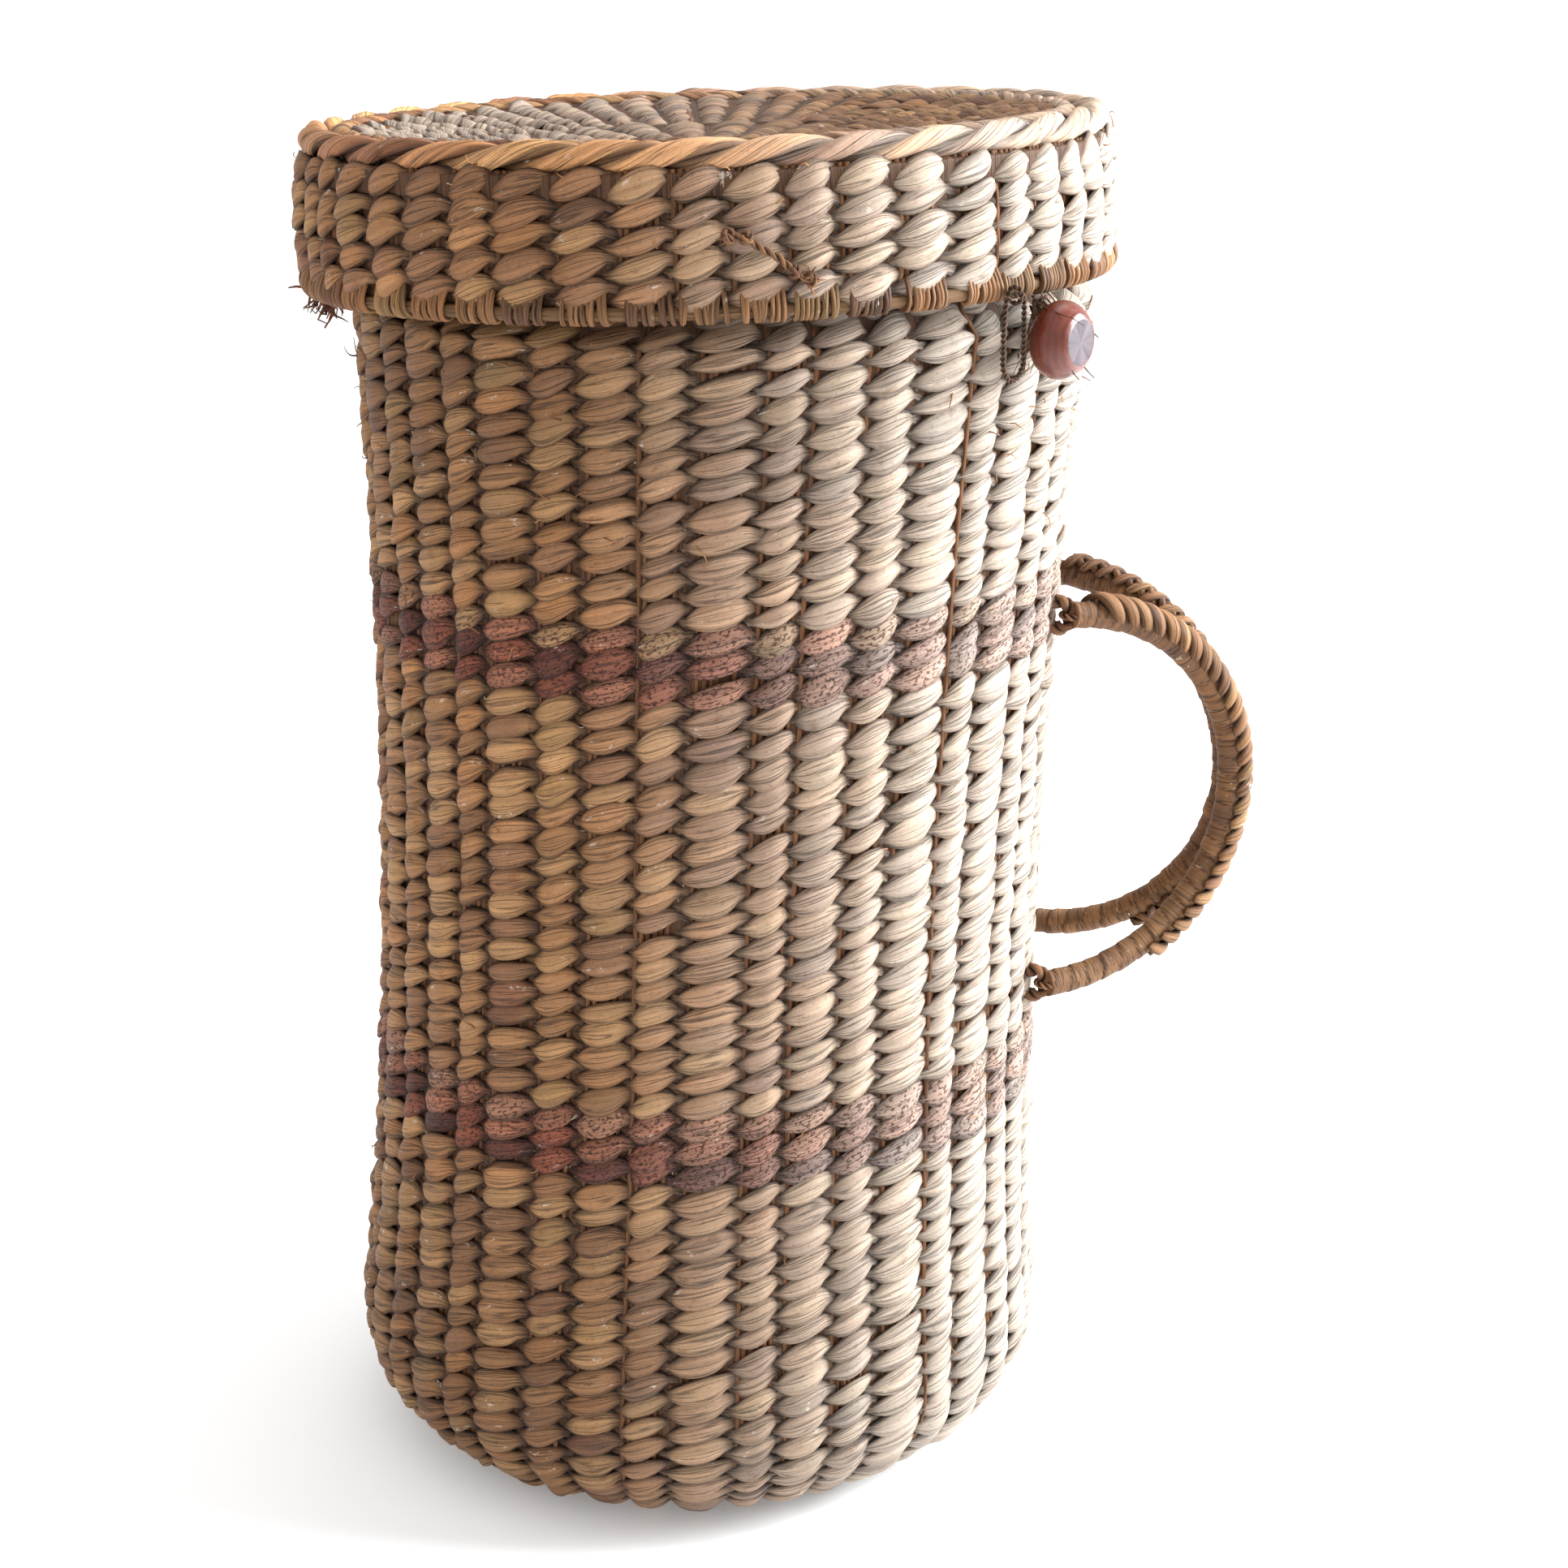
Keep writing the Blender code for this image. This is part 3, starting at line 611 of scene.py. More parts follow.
def twine_material():
    n = Nodes("old_twine")
    fine = n.noise(n.scaled(300.0, 2600.0), detail=4.0, roughness=0.7)
    shade = n.ramp(fine, 0.3, 0.7, 0.55, 1.35)
    grey = n.add("ShaderNodeCombineColor", Red=shade, Green=shade, Blue=shade).outputs["Color"]
    n.link(n.mix(1.0, n.tone(), grey, "MULTIPLY"), n.shader.inputs["Base Color"])
    n.shader.inputs["Roughness"].default_value = 0.85
    n.bump(fine, 0.8, 0.0006)
    return n.material


# ---------------------------------------------------------------- the basket's wall and base
def section(skin, low, high, count):
    """Even rows between two distances, and their pitch."""
    pitch = (high - low) / count
    return low + pitch * (np.arange(count) + 0.5), pitch


def make_body(leaf, dyed, stalk):
    skin = body_skin()
    foot = BASE_POINTS - 1
    base_edge = float(skin.length[foot])

    def height_at(z):
        return float(np.interp(z, skin.line[foot:, 1], skin.length[foot:]))

    wander = np.append(0.10 * rng.standard_normal(STAKES), 0.0)
    wander[-1] = wander[0]
    low, high = LOWER_BAND
    low_u, high_u = UPPER_BAND
    marks = [base_edge, height_at(FOOT_HEIGHT), height_at(low), height_at(high)]
    middle = height_at(0.5 * (high + low_u))
    marks += [middle, height_at(low_u), height_at(high_u), height_at(SHOULDER_Z), float(skin.length[-1])]
    names = ["foot_weave", "lower_weave", "lower_band_weave", "middle_weave_low", "middle_weave_high",
             "upper_band_weave", "upper_weave", "neck_weave"]
    nodes = ["wall_lower", "wall_lower", "dyed_band_lower", "wall_middle", "wall_middle",
             "dyed_band_upper", "wall_upper", "neck_wall"]
    counts = [8, 11, 3, 9, 8, 3, 11, 3]
    for name, node, count, start, end in zip(names, nodes, counts, marks[:-1], marks[1:]):
        rows, pitch = section(skin, start, end, count)
        tones = np.stack([straw_tones(count, STAKES), straw_tones(count, STAKES)], axis=1)
        material = leaf
        if name == "upper_band_weave":
            tones[0, 0] = dyed_tones(["rose"], STAKES)[0]
            tones[1] = dyed_tones(["red", "dark"], STAKES)
            tones[0, 1] = straw_tones(1, STAKES)[0] * (0.8, 0.82, 0.86)
            tones[2] = dyed_tones(["rose", "red"], STAKES)
            tones = tones[::-1]
            material = dyed
        if name == "lower_band_weave":
            tones[2] = dyed_tones(["pink", "rose"], STAKES)
            tones[1] = dyed_tones(["rose", "red"], STAKES)
            tones[0] = dyed_tones(["dark", "red"], STAKES)
            material = dyed
        build = Build()
        twine(build, skin, rows, pitch, STAKES, tones, wander, foot_dark_lid_shade=True, side_light=0.40 if material is dyed else 0.62)
        build.piece(name, material, "basket", node, slot="dyed_straw" if material is dyed else "straw")
    build = Build()
    stakes_in(build, skin, 0.055, float(skin.length[-1]) + 0.002, STAKES, wander)
    # painted shade: a dark sheet behind the wall's stitches
    shade_sheet(build, skin, 0.055, float(skin.length[-1]) + 0.001)
    build.piece("stakes", stalk, "basket", "stake_cage", slot="stalk")
    build = Build()
    for stakes, start, end in ((10, 0.006, 0.034), (20, 0.034, 0.062), (STAKES, 0.062, base_edge)):
        count = int(round((end - start) / 0.0072))
        rows, pitch = section(skin, start, end, count)
        tones = np.stack([straw_tones(count, stakes), straw_tones(count, stakes)], axis=1)
        loose = np.zeros(stakes + 1)
        twine(build, skin, rows, pitch, stakes, tones, loose, swing=0.0024, thick=0.0018, full=0.60, side_light=0.0)
    coil(build, Vector((0.0, 0.0, 0.0046)), 0.0080)
    build.piece("base_weave", leaf, "basket", "base_disc")
    return skin, wander


def ring_path(radius, height, matrix=None, lean=False, count=360):
    angle = 2.0 * pi * np.arange(count) / count
    path = np.stack([radius * np.cos(angle), radius * np.sin(angle), np.full(count, height)], -1)
    if lean:
        path[:, 0] += LEAN * cos(HANDLE_ANGLE) * height
        path[:, 1] += LEAN * sin(HANDLE_ANGLE) * height
    if matrix is not None:
        m = np.array(matrix)
        path = path @ m[:3, :3].T + m[:3, 3]
    return path


def make_body_ropes(leaf):
    build = Build()
    rope(build, ring_path(0.1006, 0.0040, lean=True), 0.0040, 3, 0.034, STRAWS, closed=True, flat=1.05)
    build.piece("foot_rope", leaf, "basket", "foot_wale")
    build = Build()
    path = ring_path(NECK_RADIUS - RIM_ROPE + 0.001, NECK_TOP + RIM_ROPE + 0.0003, lean=True)
    rope(build, path, RIM_ROPE, 3, 0.050, STRAWS, closed=True)
    build.piece("neck_rope", leaf, "basket", "rim_rope", slot="stalk")


# ---------------------------------------------------------------- lid
def make_lid(leaf, disc_leaf, stalk):
    skirt, disc = lid_skins()
    wander = np.append(0.08 * rng.standard_normal(LID_STAKES), 0.0)
    wander[-1] = wander[0]
    rows, pitch = section(skirt, 0.0022, float(skirt.length[-1]) - 0.001, 5)
    tones = np.stack([straw_tones(5, LID_STAKES), straw_tones(5, LID_STAKES)], axis=1)
    build = Build()
    twine(build, skirt, rows, pitch, LID_STAKES, tones, wander, rise=0.33, full=0.60, bias=0.03)
    build.piece("lid_skirt_weave", leaf, "lid", "skirt_weave")
    build = Build()
    stakes_in(build, skirt, 0.001, float(skirt.length[-1]), LID_STAKES, wander)
    # painted shade: dark sheets behind the skirt, the disc and the shoulder between them
    shade_sheet(build, skirt, 0.002, float(skirt.length[-1]) - 0.001)
    shade_sheet(build, disc, 0.001, float(disc.length[-1]) - 0.001, depth=0.0034)
    shoulder = Skin([(SKIRT[2][0] - 0.0030, SKIRT[2][1] - 0.0080), (SKIRT[2][0] - 0.0030, SKIRT[2][1] + 0.0005),
                     (RIM_RADIUS - 0.0050, RIM_Z - 0.0030), (BRAID_RADIUS, BRAID_Z - 0.0030),
                     (DISC_RADIUS - 0.0020, DISC_EDGE_Z - 0.0034)], matrix=LID_FRAME)
    shade_sheet(build, shoulder, 0.0, float(shoulder.length[-1]), depth=0.0)
    coil(build, LID_FRAME @ Vector((0.0, 0.0, DISC_EDGE_Z - DISC_DISH - 0.0030)), 0.0068)
    stakes_in(build, disc, 0.0, float(disc.length[-1]) - 0.02, 24, np.zeros(25), depth=0.0034, fibres=3)
    build.piece("lid_stakes", stalk, "lid", "lid_spokes", slot="stalk")
    zones = ((LID_STAKES, 0.002, 0.058, "outer"), (24, 0.058, 0.102, "inner"), (12, 0.102, 0.140, "centre"))
    for stakes, start, end, name in zones:
        count = int(round((end - start) / 0.0066))
        rows, pitch = section(disc, start, end, count)
        tones = np.stack([straw_tones(count, stakes), straw_tones(count, stakes)], axis=1)
        build = Build()
        # painted light: the dish is paled on its slope at 205 degrees, which faces the key lamp
        twine(build, disc, rows, pitch, stakes, tones * 0.62, np.zeros(stakes + 1), swing=0.0024, thick=0.0018,
              rise=0.40, full=0.72, ragged=0.0004, side_light=0.40, bias=0.0, towards=radians(205.0))
        build.piece("lid_disc_" + name, disc_leaf, "lid", "lid_disc")
    build = Build()
    # painted light: straw colours raised 1.85 times against the rope's shaded facing, and paled on the key lamp's side
    rope(build, ring_path(RIM_RADIUS, RIM_Z, LID_FRAME), RIM_THICK, 2, 0.062, STRAWS * 1.85, closed=True,
         flat=1.15, hand=-1.0, sides=16, side_light=0.5)
    build.piece("lid_rope", leaf, "lid", "lid_rim_rope")
    build = Build()
    rope(build, ring_path(BRAID_RADIUS, BRAID_Z, LID_FRAME), BRAID_THICK, 3, 0.044, STRAWS, closed=True,
         hand=1.0, sides=12, side_light=0.3)
    build.piece("lid_braid", leaf, "lid", "lid_inner_braid", slot="stalk")
    make_border(skirt, wander, leaf, stalk)


def make_border(skirt, wander, leaf, stalk):
    """A thin rod along the skirt's edge with the stalk ends wrapped over it."""
    build = Build()
    radius, height = SKIRT[0][0] - 0.0036, 0.0044
    strand(build, np.vstack([ring_path(radius, height, LID_FRAME), ring_path(radius, height, LID_FRAME)[:1]]),
           0.0026, STRAWS[1] * 0.45, sides=10)
    matrix = np.array(LID_FRAME)
    cell = 2.0 * pi / LID_STAKES
    for stake in range(LID_STAKES):
        tone = STRAWS[rng.integers(0, len(STRAWS))] * rng.uniform(0.45, 0.85)
        for fibre in range(9):
            angle = (stake + wander[stake] + 0.12) * cell + (fibre - 4) * 0.0019 / radius
            slant = rng.normal(0.0, 0.002)
            profile = [(radius + 0.0005, 0.0130), (radius + 0.0026, 0.0088), (radius + 0.0036, 0.0046),
                       (radius + 0.0018, 0.0012), (radius - 0.0018, 0.0012), (radius - 0.0034, 0.0046)]
            path = []
            for k, (r, z) in enumerate(profile):
                turned = angle + slant * k
                path.append((r * cos(turned), r * sin(turned), z))
            path = curve(path, 12) @ matrix[:3, :3].T + matrix[:3, 3]
            strand(build, path, 0.00105, tone * (1.0 + 0.1 * rng.standard_normal()), sides=6, step=0.0012)
    build.piece("skirt_edge", stalk, "lid", "skirt_border", slot="stalk")


# ---------------------------------------------------------------- handle hoops
def wall_centre(z):
    return Vector((LEAN * cos(HANDLE_ANGLE) * z, LEAN * sin(HANDLE_ANGLE) * z, z))


def radial(angle):
    return Vector((cos(angle), sin(angle), 0.0))


def wall_point(angle, z, outward=0.0):
    return wall_centre(z) + radial(angle) * (float(wall_radius(z)) + outward)


def make_hoop(name, side, leaf, twine_mat):
    chord = HANDLE_ANGLE + side * HOOP_SPREAD
    half = HOOP_HALF_HEIGHT
    low = wall_point(chord, HOOP_MID_Z - half, HOOP_STANDOFF)
    high = wall_point(chord, HOOP_MID_Z + half, HOOP_STANDOFF)
    middle = (low + high) / 2
    up = (high - low).normalized()
    crown = wall_centre(HOOP_MID_Z) + radial(HANDLE_ANGLE) * HOOP_CROWN_RADIUS
    crown += Vector((-sin(HANDLE_ANGLE), cos(HANDLE_ANGLE), 0.0)) * side * HOOP_CROWN_SIDE
    outward = crown - middle
    outward -= up * outward.dot(up)
    reach = outward.length
    outward.normalize()

    def along(turn, offset=0.0, aside=0.0):
        normal = Vector((cos(turn) / reach, sin(turn) / half)).normalized() * offset
        place = middle + outward * (reach * cos(turn) + normal.x) + up * (half * sin(turn) + normal.y)
        return tuple(place + up.cross(outward) * aside)

    first = acos(0.0061 / reach)
    turns = np.linspace(-pi / 2, pi / 2, 90)
    build = Build()
    # painted shade: the wrap's straw colours are darkened to 0.55 for the hoop's shaded face
    wrapped(build, [along(t) for t in turns], 0.92 * HOOP_TUBE, 0.0088, STRAWS[[0, 2, 3, 5, 6]] * 0.55)
    build.piece(name + "_raffia", leaf, name + "_hoop", name + "_wrap", name + "_core", slot="pale_straw")
    build = Build()
    ridge = [along(t, 0.0066, -side * 0.0010) for t in np.linspace(-first * 0.66, first * 0.97, 80)]
    # painted shade: the ridge's straw colours are darkened to 0.60 for the hoop's shaded face
    rope(build, ridge, 0.0036, 2, 0.0120, STRAWS[[0, 3, 5, 6]] * 0.60, step=0.0010, flat=1.15, rough=0.05)
    slanted_straps(build, along, first * 0.98, -first * 0.66, side)
    build.piece(name + "_braid", leaf, name + "_hoop", name + "_ridge", slot="pale_straw")
    for end, z in (("top", half), ("bottom", -half)):
        eye_centre = middle + up * z
        ring = []
        for k in range(36):
            a = 2 * pi * k / 36
            ring.append(tuple(eye_centre + outward * 0.0042 * cos(a) + up.cross(outward) * 0.0042 * sin(a)))
        build = Build()
        rope(build, ring, 0.0017, 2, 0.006, STRAWS[[3, 5, 7]], closed=True, step=0.0007, sides=6)
        build.piece(name + "_loop_" + end, leaf, name + "_hoop", name + "_eye_" + end, slot="stalk")
        tie = []
        for lift, inward in ((0.0058, 0.0090), (0.0054, 0.0030), (0.0, 0.0), (-0.0054, 0.0030), (-0.0058, 0.0090)):
            tie.append(tuple(eye_centre + up * lift - radial(chord) * inward))
        tie = curve(tie, 60)
        build = Build()
        rope(build, tie, 0.0034, 2, 0.012, STRAWS[[3, 5, 7]] * 0.80, step=0.0010, sides=8, flat=1.2)
        build.piece(name + "_cord_" + end, twine_mat, "basket", name + "_tie_" + end, slot="twine")
        build = Build()
        place = wall_point(chord, eye_centre.z, -0.0150)
        ball_of_twine(build, np.array(place), 0.0042)
        build.piece(name + "_ball_" + end, twine_mat, "basket", name + "_knot_" + end, slot="twine")


def slanted_straps(build, along, start, end, side):
    """Flattened straps laid slantwise over the outer half of a hoop's stem, one over the next."""
    turns = np.linspace(start, end, 400)
    line = np.array([along(t) for t in turns])
    length = np.concatenate([[0.0], np.cumsum(np.linalg.norm(np.diff(line, axis=0), axis=1))])
    turn = 2.0 * pi * np.arange(12) / 12
    steps = np.linspace(0.0, 1.0, 12)
    count = int(length[-1] / 0.0074)
    for strap in range(count):
        tone = STRAWS[rng.choice((0, 1, 3, 5, 6))] * rng.uniform(0.62, 0.86)
        first = strap * 0.0074 + rng.normal(0, 0.0003)
        wide = 0.0035 * rng.uniform(0.92, 1.12)
        grid = []
        for step in steps:
            at = float(np.interp(first + 0.0115 * step, length, turns))
            about = radians(-55.0 + 150.0 * step)
            reach = HOOP_TUBE + 0.0011 + 0.0012 * sin(pi * step)
            centre = np.array(along(at, reach * cos(about), side * reach * sin(about)))
            out = centre - np.array(along(at))
            out /= np.linalg.norm(out)
            tangent = np.array(along(at - 0.01)) - np.array(along(at + 0.01))
            tangent /= np.linalg.norm(tangent)
            size = 0.35 + 0.65 * sin(pi * (0.04 + 0.92 * step)) ** 0.6
            ring = wide * size * np.cos(turn)[:, None] * tangent + 0.0019 * size * np.sin(turn)[:, None] * out
            grid.append(centre + ring + 0.0006 * np.cos(turn)[:, None] * out)
        shade = np.clip(0.75 * smooth(0.70, 1.0, np.abs(np.cos(turn))), 0, 1)[None, :, None]
        colour = tone * (1.0 - shade) + SHADOW * shade
        build.tube(np.array(grid), steps * 0.016 + rng.random(), np.arange(13) / 12 * 0.016, colour)


def coil(build, centre, radius):
    """A flat coil that closes the middle where the stalks meet."""
    turns = radius / 0.0034
    path = []
    for t in np.linspace(0.0, 1.0, 40):
        r = 0.0004 + (radius - 0.0004) * t
        path.append((centre.x + r * cos(2 * pi * turns * t), centre.y + r * sin(2 * pi * turns * t), centre.z))
    strand(build, path, 0.0022, STRAWS[3], sides=8, step=0.0015)


def ball_of_twine(build, centre, radius):
    """A knot: one cord wound three ways about itself."""
    for spin in range(3):
        axis = Vector((sin(spin * 2.1), cos(spin * 1.7), 0.6 * spin - 0.5)).normalized()
        one = axis.orthogonal().normalized()
        two = axis.cross(one)
        path = []
        for k in range(40):
            a = 2 * pi * k / 40
            path.append(np.array(centre) + np.array(one * cos(a) + two * sin(a)) * radius * 0.62)
        rope(build, path, radius * 0.42, 2, radius * 2.4, TWINE[None] * [[1.0], [0.75]], closed=True,
             step=0.0008, sides=6)


# ---------------------------------------------------------------- knob, ties and loose ends
KNOB_Z = 0.5150
KNOB_RADIUS = 0.0155
KNOB_LENGTH = 0.0170
KNOB_STANDOFF = 0.0057
KNOB_FACE = 0.0090
HINGE_X = -0.1730
HINGE_Z = 0.5180
HINGE_CORD = 0.0016
HINGE_TIE_ANGLE = radians(17.0)
HINGE_FOOT_Z = SHOULDER_Z - 0.012
LOOP_BAR = np.array((0.178275, -0.017038, 0.535316))
LOOP_DROP = 0.0330
LOOP_HALF_WIDTH = 0.0070
VARNISH = linear(98, 40, 25)
END_GRAIN = linear(80, 68, 74)


def make_knob(wood, twine_mat):
    """Barrel of varnished wood with a worn, flat end face, on a cord shank."""
    back = np.array(wall_point(0.0, KNOB_Z, KNOB_STANDOFF))
    # painted shade: the two shank rings next to the wall are darkened varnish, for the groove between knob and wall
    profile = [(0.0034, 0.0090, VARNISH * 0.3), (0.0036, 0.0008, VARNISH * 0.5)]
    for t in np.linspace(0.0, 0.90, 22):
        bulge = sqrt(1.0 - (2.0 * t - 0.92) ** 2 * 0.55)
        profile.append((KNOB_RADIUS * bulge * (0.955 + 0.045 * float(smooth(0.0, 0.06, t))), KNOB_LENGTH * t, VARNISH))
    last = profile[-1][0]
    for t in np.linspace(0.0, 1.0, 7)[1:]:
        profile.append((last + (KNOB_FACE + 0.0004 - last) * t, KNOB_LENGTH * (0.90 + 0.095 * t ** 0.6), VARNISH))
    profile.append((KNOB_FACE, KNOB_LENGTH * 0.999, END_GRAIN * 0.8))
    profile.append((KNOB_FACE * 0.93, KNOB_LENGTH, END_GRAIN))
    profile.append((0.0004, KNOB_LENGTH * 0.998, END_GRAIN))
    sides = 64
    turn = 2.0 * pi * np.arange(sides) / sides
    rings = [np.stack([np.full(sides, x), r * np.cos(turn), r * np.sin(turn)], -1) for r, x, _ in profile]
    grid = back + np.array(rings)
    tone = np.array([p[2] for p in profile])[:, None]
    build = Build()
    along = np.array([p[1] for p in profile])
    build.tube(grid, along, np.arange(sides + 1) / sides * 0.09, tone)
    build.piece("wooden_knob", wood, "closing_knob", "knob", slot="polished_wood")
    build = Build()
    rope(build, [back - (0.0060, 0, 0), back + (0.0080, 0, 0)], 0.0027, 3, 0.010, TWINE[None], step=0.0007)
    build.piece("knob_cord", twine_mat, "basket", "knob_shank", slot="twine")
    build = Build()
    ball_of_twine(build, np.array(wall_point(0.0, KNOB_Z, -0.0160)), 0.0046)
    build.piece("knob_cord_end", twine_mat, "basket", "knob_knot", slot="twine")


def make_closing_loop(twine_mat):
    points = [(0.0, 0.0, 0.0)]
    points += [(0.0, LOOP_HALF_WIDTH * 0.8, -0.001), (0.0, LOOP_HALF_WIDTH, -0.012)]
    for turn in np.linspace(0.0, pi, 9):
        low = -LOOP_DROP + LOOP_HALF_WIDTH * (1.0 - sin(turn))
        points.append((0.0, LOOP_HALF_WIDTH * cos(turn), low))
    points += [(0.0, -LOOP_HALF_WIDTH, -0.012), (0.0, -LOOP_HALF_WIDTH * 0.8, -0.001)]
    path = curve(np.array(points) + LOOP_BAR, 90)
    build = Build()
    rope(build, path, 0.0013, 2, 0.0045, TWINE * [[0.8], [0.6]], closed=True, step=0.0006, sides=6)
    build.piece("closing_loop_cord", twine_mat, "closing_cord", "closing_loop", slot="twine")
    ring = [LOOP_BAR + (0.0031 * cos(t), 0.0, 0.0031 * sin(t)) for t in np.linspace(0, 2 * pi, 28)[:-1]]
    build = Build()
    rope(build, ring, 0.0012, 2, 0.0045, TWINE * [[0.8], [0.6]], closed=True, step=0.0006, sides=6)
    build.piece("loop_stitch_cord", twine_mat, "lid", "loop_stitch", slot="twine")


def wisp(start, direction, length, curl, count=9):
    """Points of one loose fibre that bends as it goes."""
    at = np.array(start, float)
    way = np.array(direction, float)
    way /= np.linalg.norm(way)
    points = [at.copy()]
    for _ in range(count - 1):
        way = way + curl * rng.standard_normal(3)
        way /= np.linalg.norm(way)
        at = at + way * length / (count - 1)
        points.append(at.copy())
    return curve(points, 16)


def frayed(build, centre, direction, count, length, spread, tones, radius=0.0005, curl=0.22):
    """A bunch of loose fibres from one place."""
    for _ in range(count):
        start = np.array(centre) + rng.normal(0, spread, 3)
        way = np.array(direction) + 0.35 * rng.standard_normal(3)
        tone = tones[rng.integers(0, len(tones))] * rng.uniform(0.7, 1.2)
        size = radius * rng.uniform(0.6, 1.3)
        strand(build, wisp(start, way, length * rng.uniform(0.5, 1.1), curl), size, tone, sides=5, taper=0.7)


def make_hinges(twine_mat):
    """Cord staples out of the wall, loops through the skirt, and one frayed end."""
    for name, side in (("left", -1.0), ("right", 1.0)):
        y = 0.0110 + side * SKIRT[0][0] * sin(HINGE_TIE_ANGLE)
        legs = []
        for across in (-0.0055, 0.0055):
            reach = sqrt((float(wall_radius(HINGE_FOOT_Z)) - 0.004) ** 2
                         - (y + across - LEAN * sin(HANDLE_ANGLE) * HINGE_FOOT_Z) ** 2)
            foot = np.array((LEAN * cos(HANDLE_ANGLE) * HINGE_FOOT_Z - reach, y + across, HINGE_FOOT_Z))
            legs.append((foot, np.array((HINGE_X, y + across, HINGE_Z))))
        (foot, top), (other_foot, other_top) = legs
        corner = np.array((0.0018, 0.0, 0.0))
        path = curve([foot, foot + (top - foot) * 0.45, top + (top - foot) * -0.18, top + corner * 0.6 + (0, 0.0008, 0),
                      (top + other_top) / 2, other_top + corner * 0.6 - (0, 0.0008, 0),
                      other_top + (other_top - other_foot) * -0.18, other_foot + (other_top - other_foot) * 0.45,
                      other_foot], 80)
        build = Build()
        rope(build, path, 0.0016, 3, 0.007, TWINE * [[1.0], [0.75]], step=0.0007, sides=7)
        if name == "left":
            frayed(build, top + (0.007, -0.003, -0.007), (-0.2, -0.3, -1.0), 110, 0.017, 0.0036,
                   RUST * [[1.0], [0.7], [1.5]], radius=0.0008, curl=0.50)
        build.piece("hinge_staple_" + name, twine_mat, "basket", "hinge_cord_" + name, slot="twine")
        edge = LID_FRAME @ Vector((-SKIRT[0][0] * cos(HINGE_TIE_ANGLE), 0.0, 0.004))
        near = edge.x - HINGE_CORD - 0.0009
        far = HINGE_X - 2.6 * HINGE_CORD
        half = 2.6 * HINGE_CORD
        oval = []
        for turn in np.linspace(0, 2 * pi, 40)[:-1]:
            middle_x = near - half if cos(turn) > 0 else far + half
            oval.append((middle_x + half * cos(turn), y, HINGE_Z + half * sin(turn)))
        build = Build()
        rope(build, even(oval, 80, True)[0], 0.0013, 2, 0.006, TWINE * [[0.9], [0.7]], closed=True, step=0.0007,
             sides=7)
        build.piece("hinge_eye_" + name, twine_mat, "lid", "hinge_loop_" + name, slot="twine")
        angle = pi - side * HINGE_TIE_ANGLE
        build = Build()
        ball_of_twine(build, np.array(wall_point(angle, HINGE_FOOT_Z, -0.0150)), 0.0038)
        build.piece("hinge_ball_" + name, twine_mat, "basket", "hinge_knot_" + name, slot="twine")


def make_skirt_tie(twine_mat):
    """A knotted end of twine lying on the front of the skirt."""
    matrix = np.array(LID_FRAME)
    middle = radians(-43.0)
    points = []
    for step, z in ((-0.085, 0.033), (-0.05, 0.032), (-0.02, 0.028), (0.02, 0.024), (0.05, 0.019), (0.085, 0.016)):
        radius = SKIRT[1][0] + 0.0021
        points.append((radius * cos(middle + step), radius * sin(middle + step), z))
    points = np.array(points) @ matrix[:3, :3].T + matrix[:3, 3]
    tones = STRAWS[[2, 5, 7]] * 0.72
    build = Build()
    rope(build, curve(points, 50), 0.0017, 2, 0.009, tones, step=0.0008, sides=8)
    for spot in (points[0], points[1], points[4], points[5]):
        knot_of(build, spot, 0.0031, tones)
    frayed(build, points[-1], points[-1] - points[-2], 10, 0.007, 0.0006, tones)
    frayed(build, points[0], points[0] - points[1], 8, 0.006, 0.0006, tones)
    build.piece("skirt_twine", twine_mat, "lid", "skirt_tie", slot="twine")


def knot_of(build, centre, radius, tones):
    for spin in range(2):
        axis = Vector(rng.standard_normal(3)).normalized()
        one = axis.orthogonal().normalized()
        two = axis.cross(one)
        path = [np.array(centre) + np.array(one * cos(a) + two * sin(a)) * radius * 0.62
                for a in np.linspace(0, 2 * pi, 30)[:-1]]
        rope(build, path, radius * 0.46, 2, radius * 2.6, tones, closed=True, step=0.0008, sides=7)


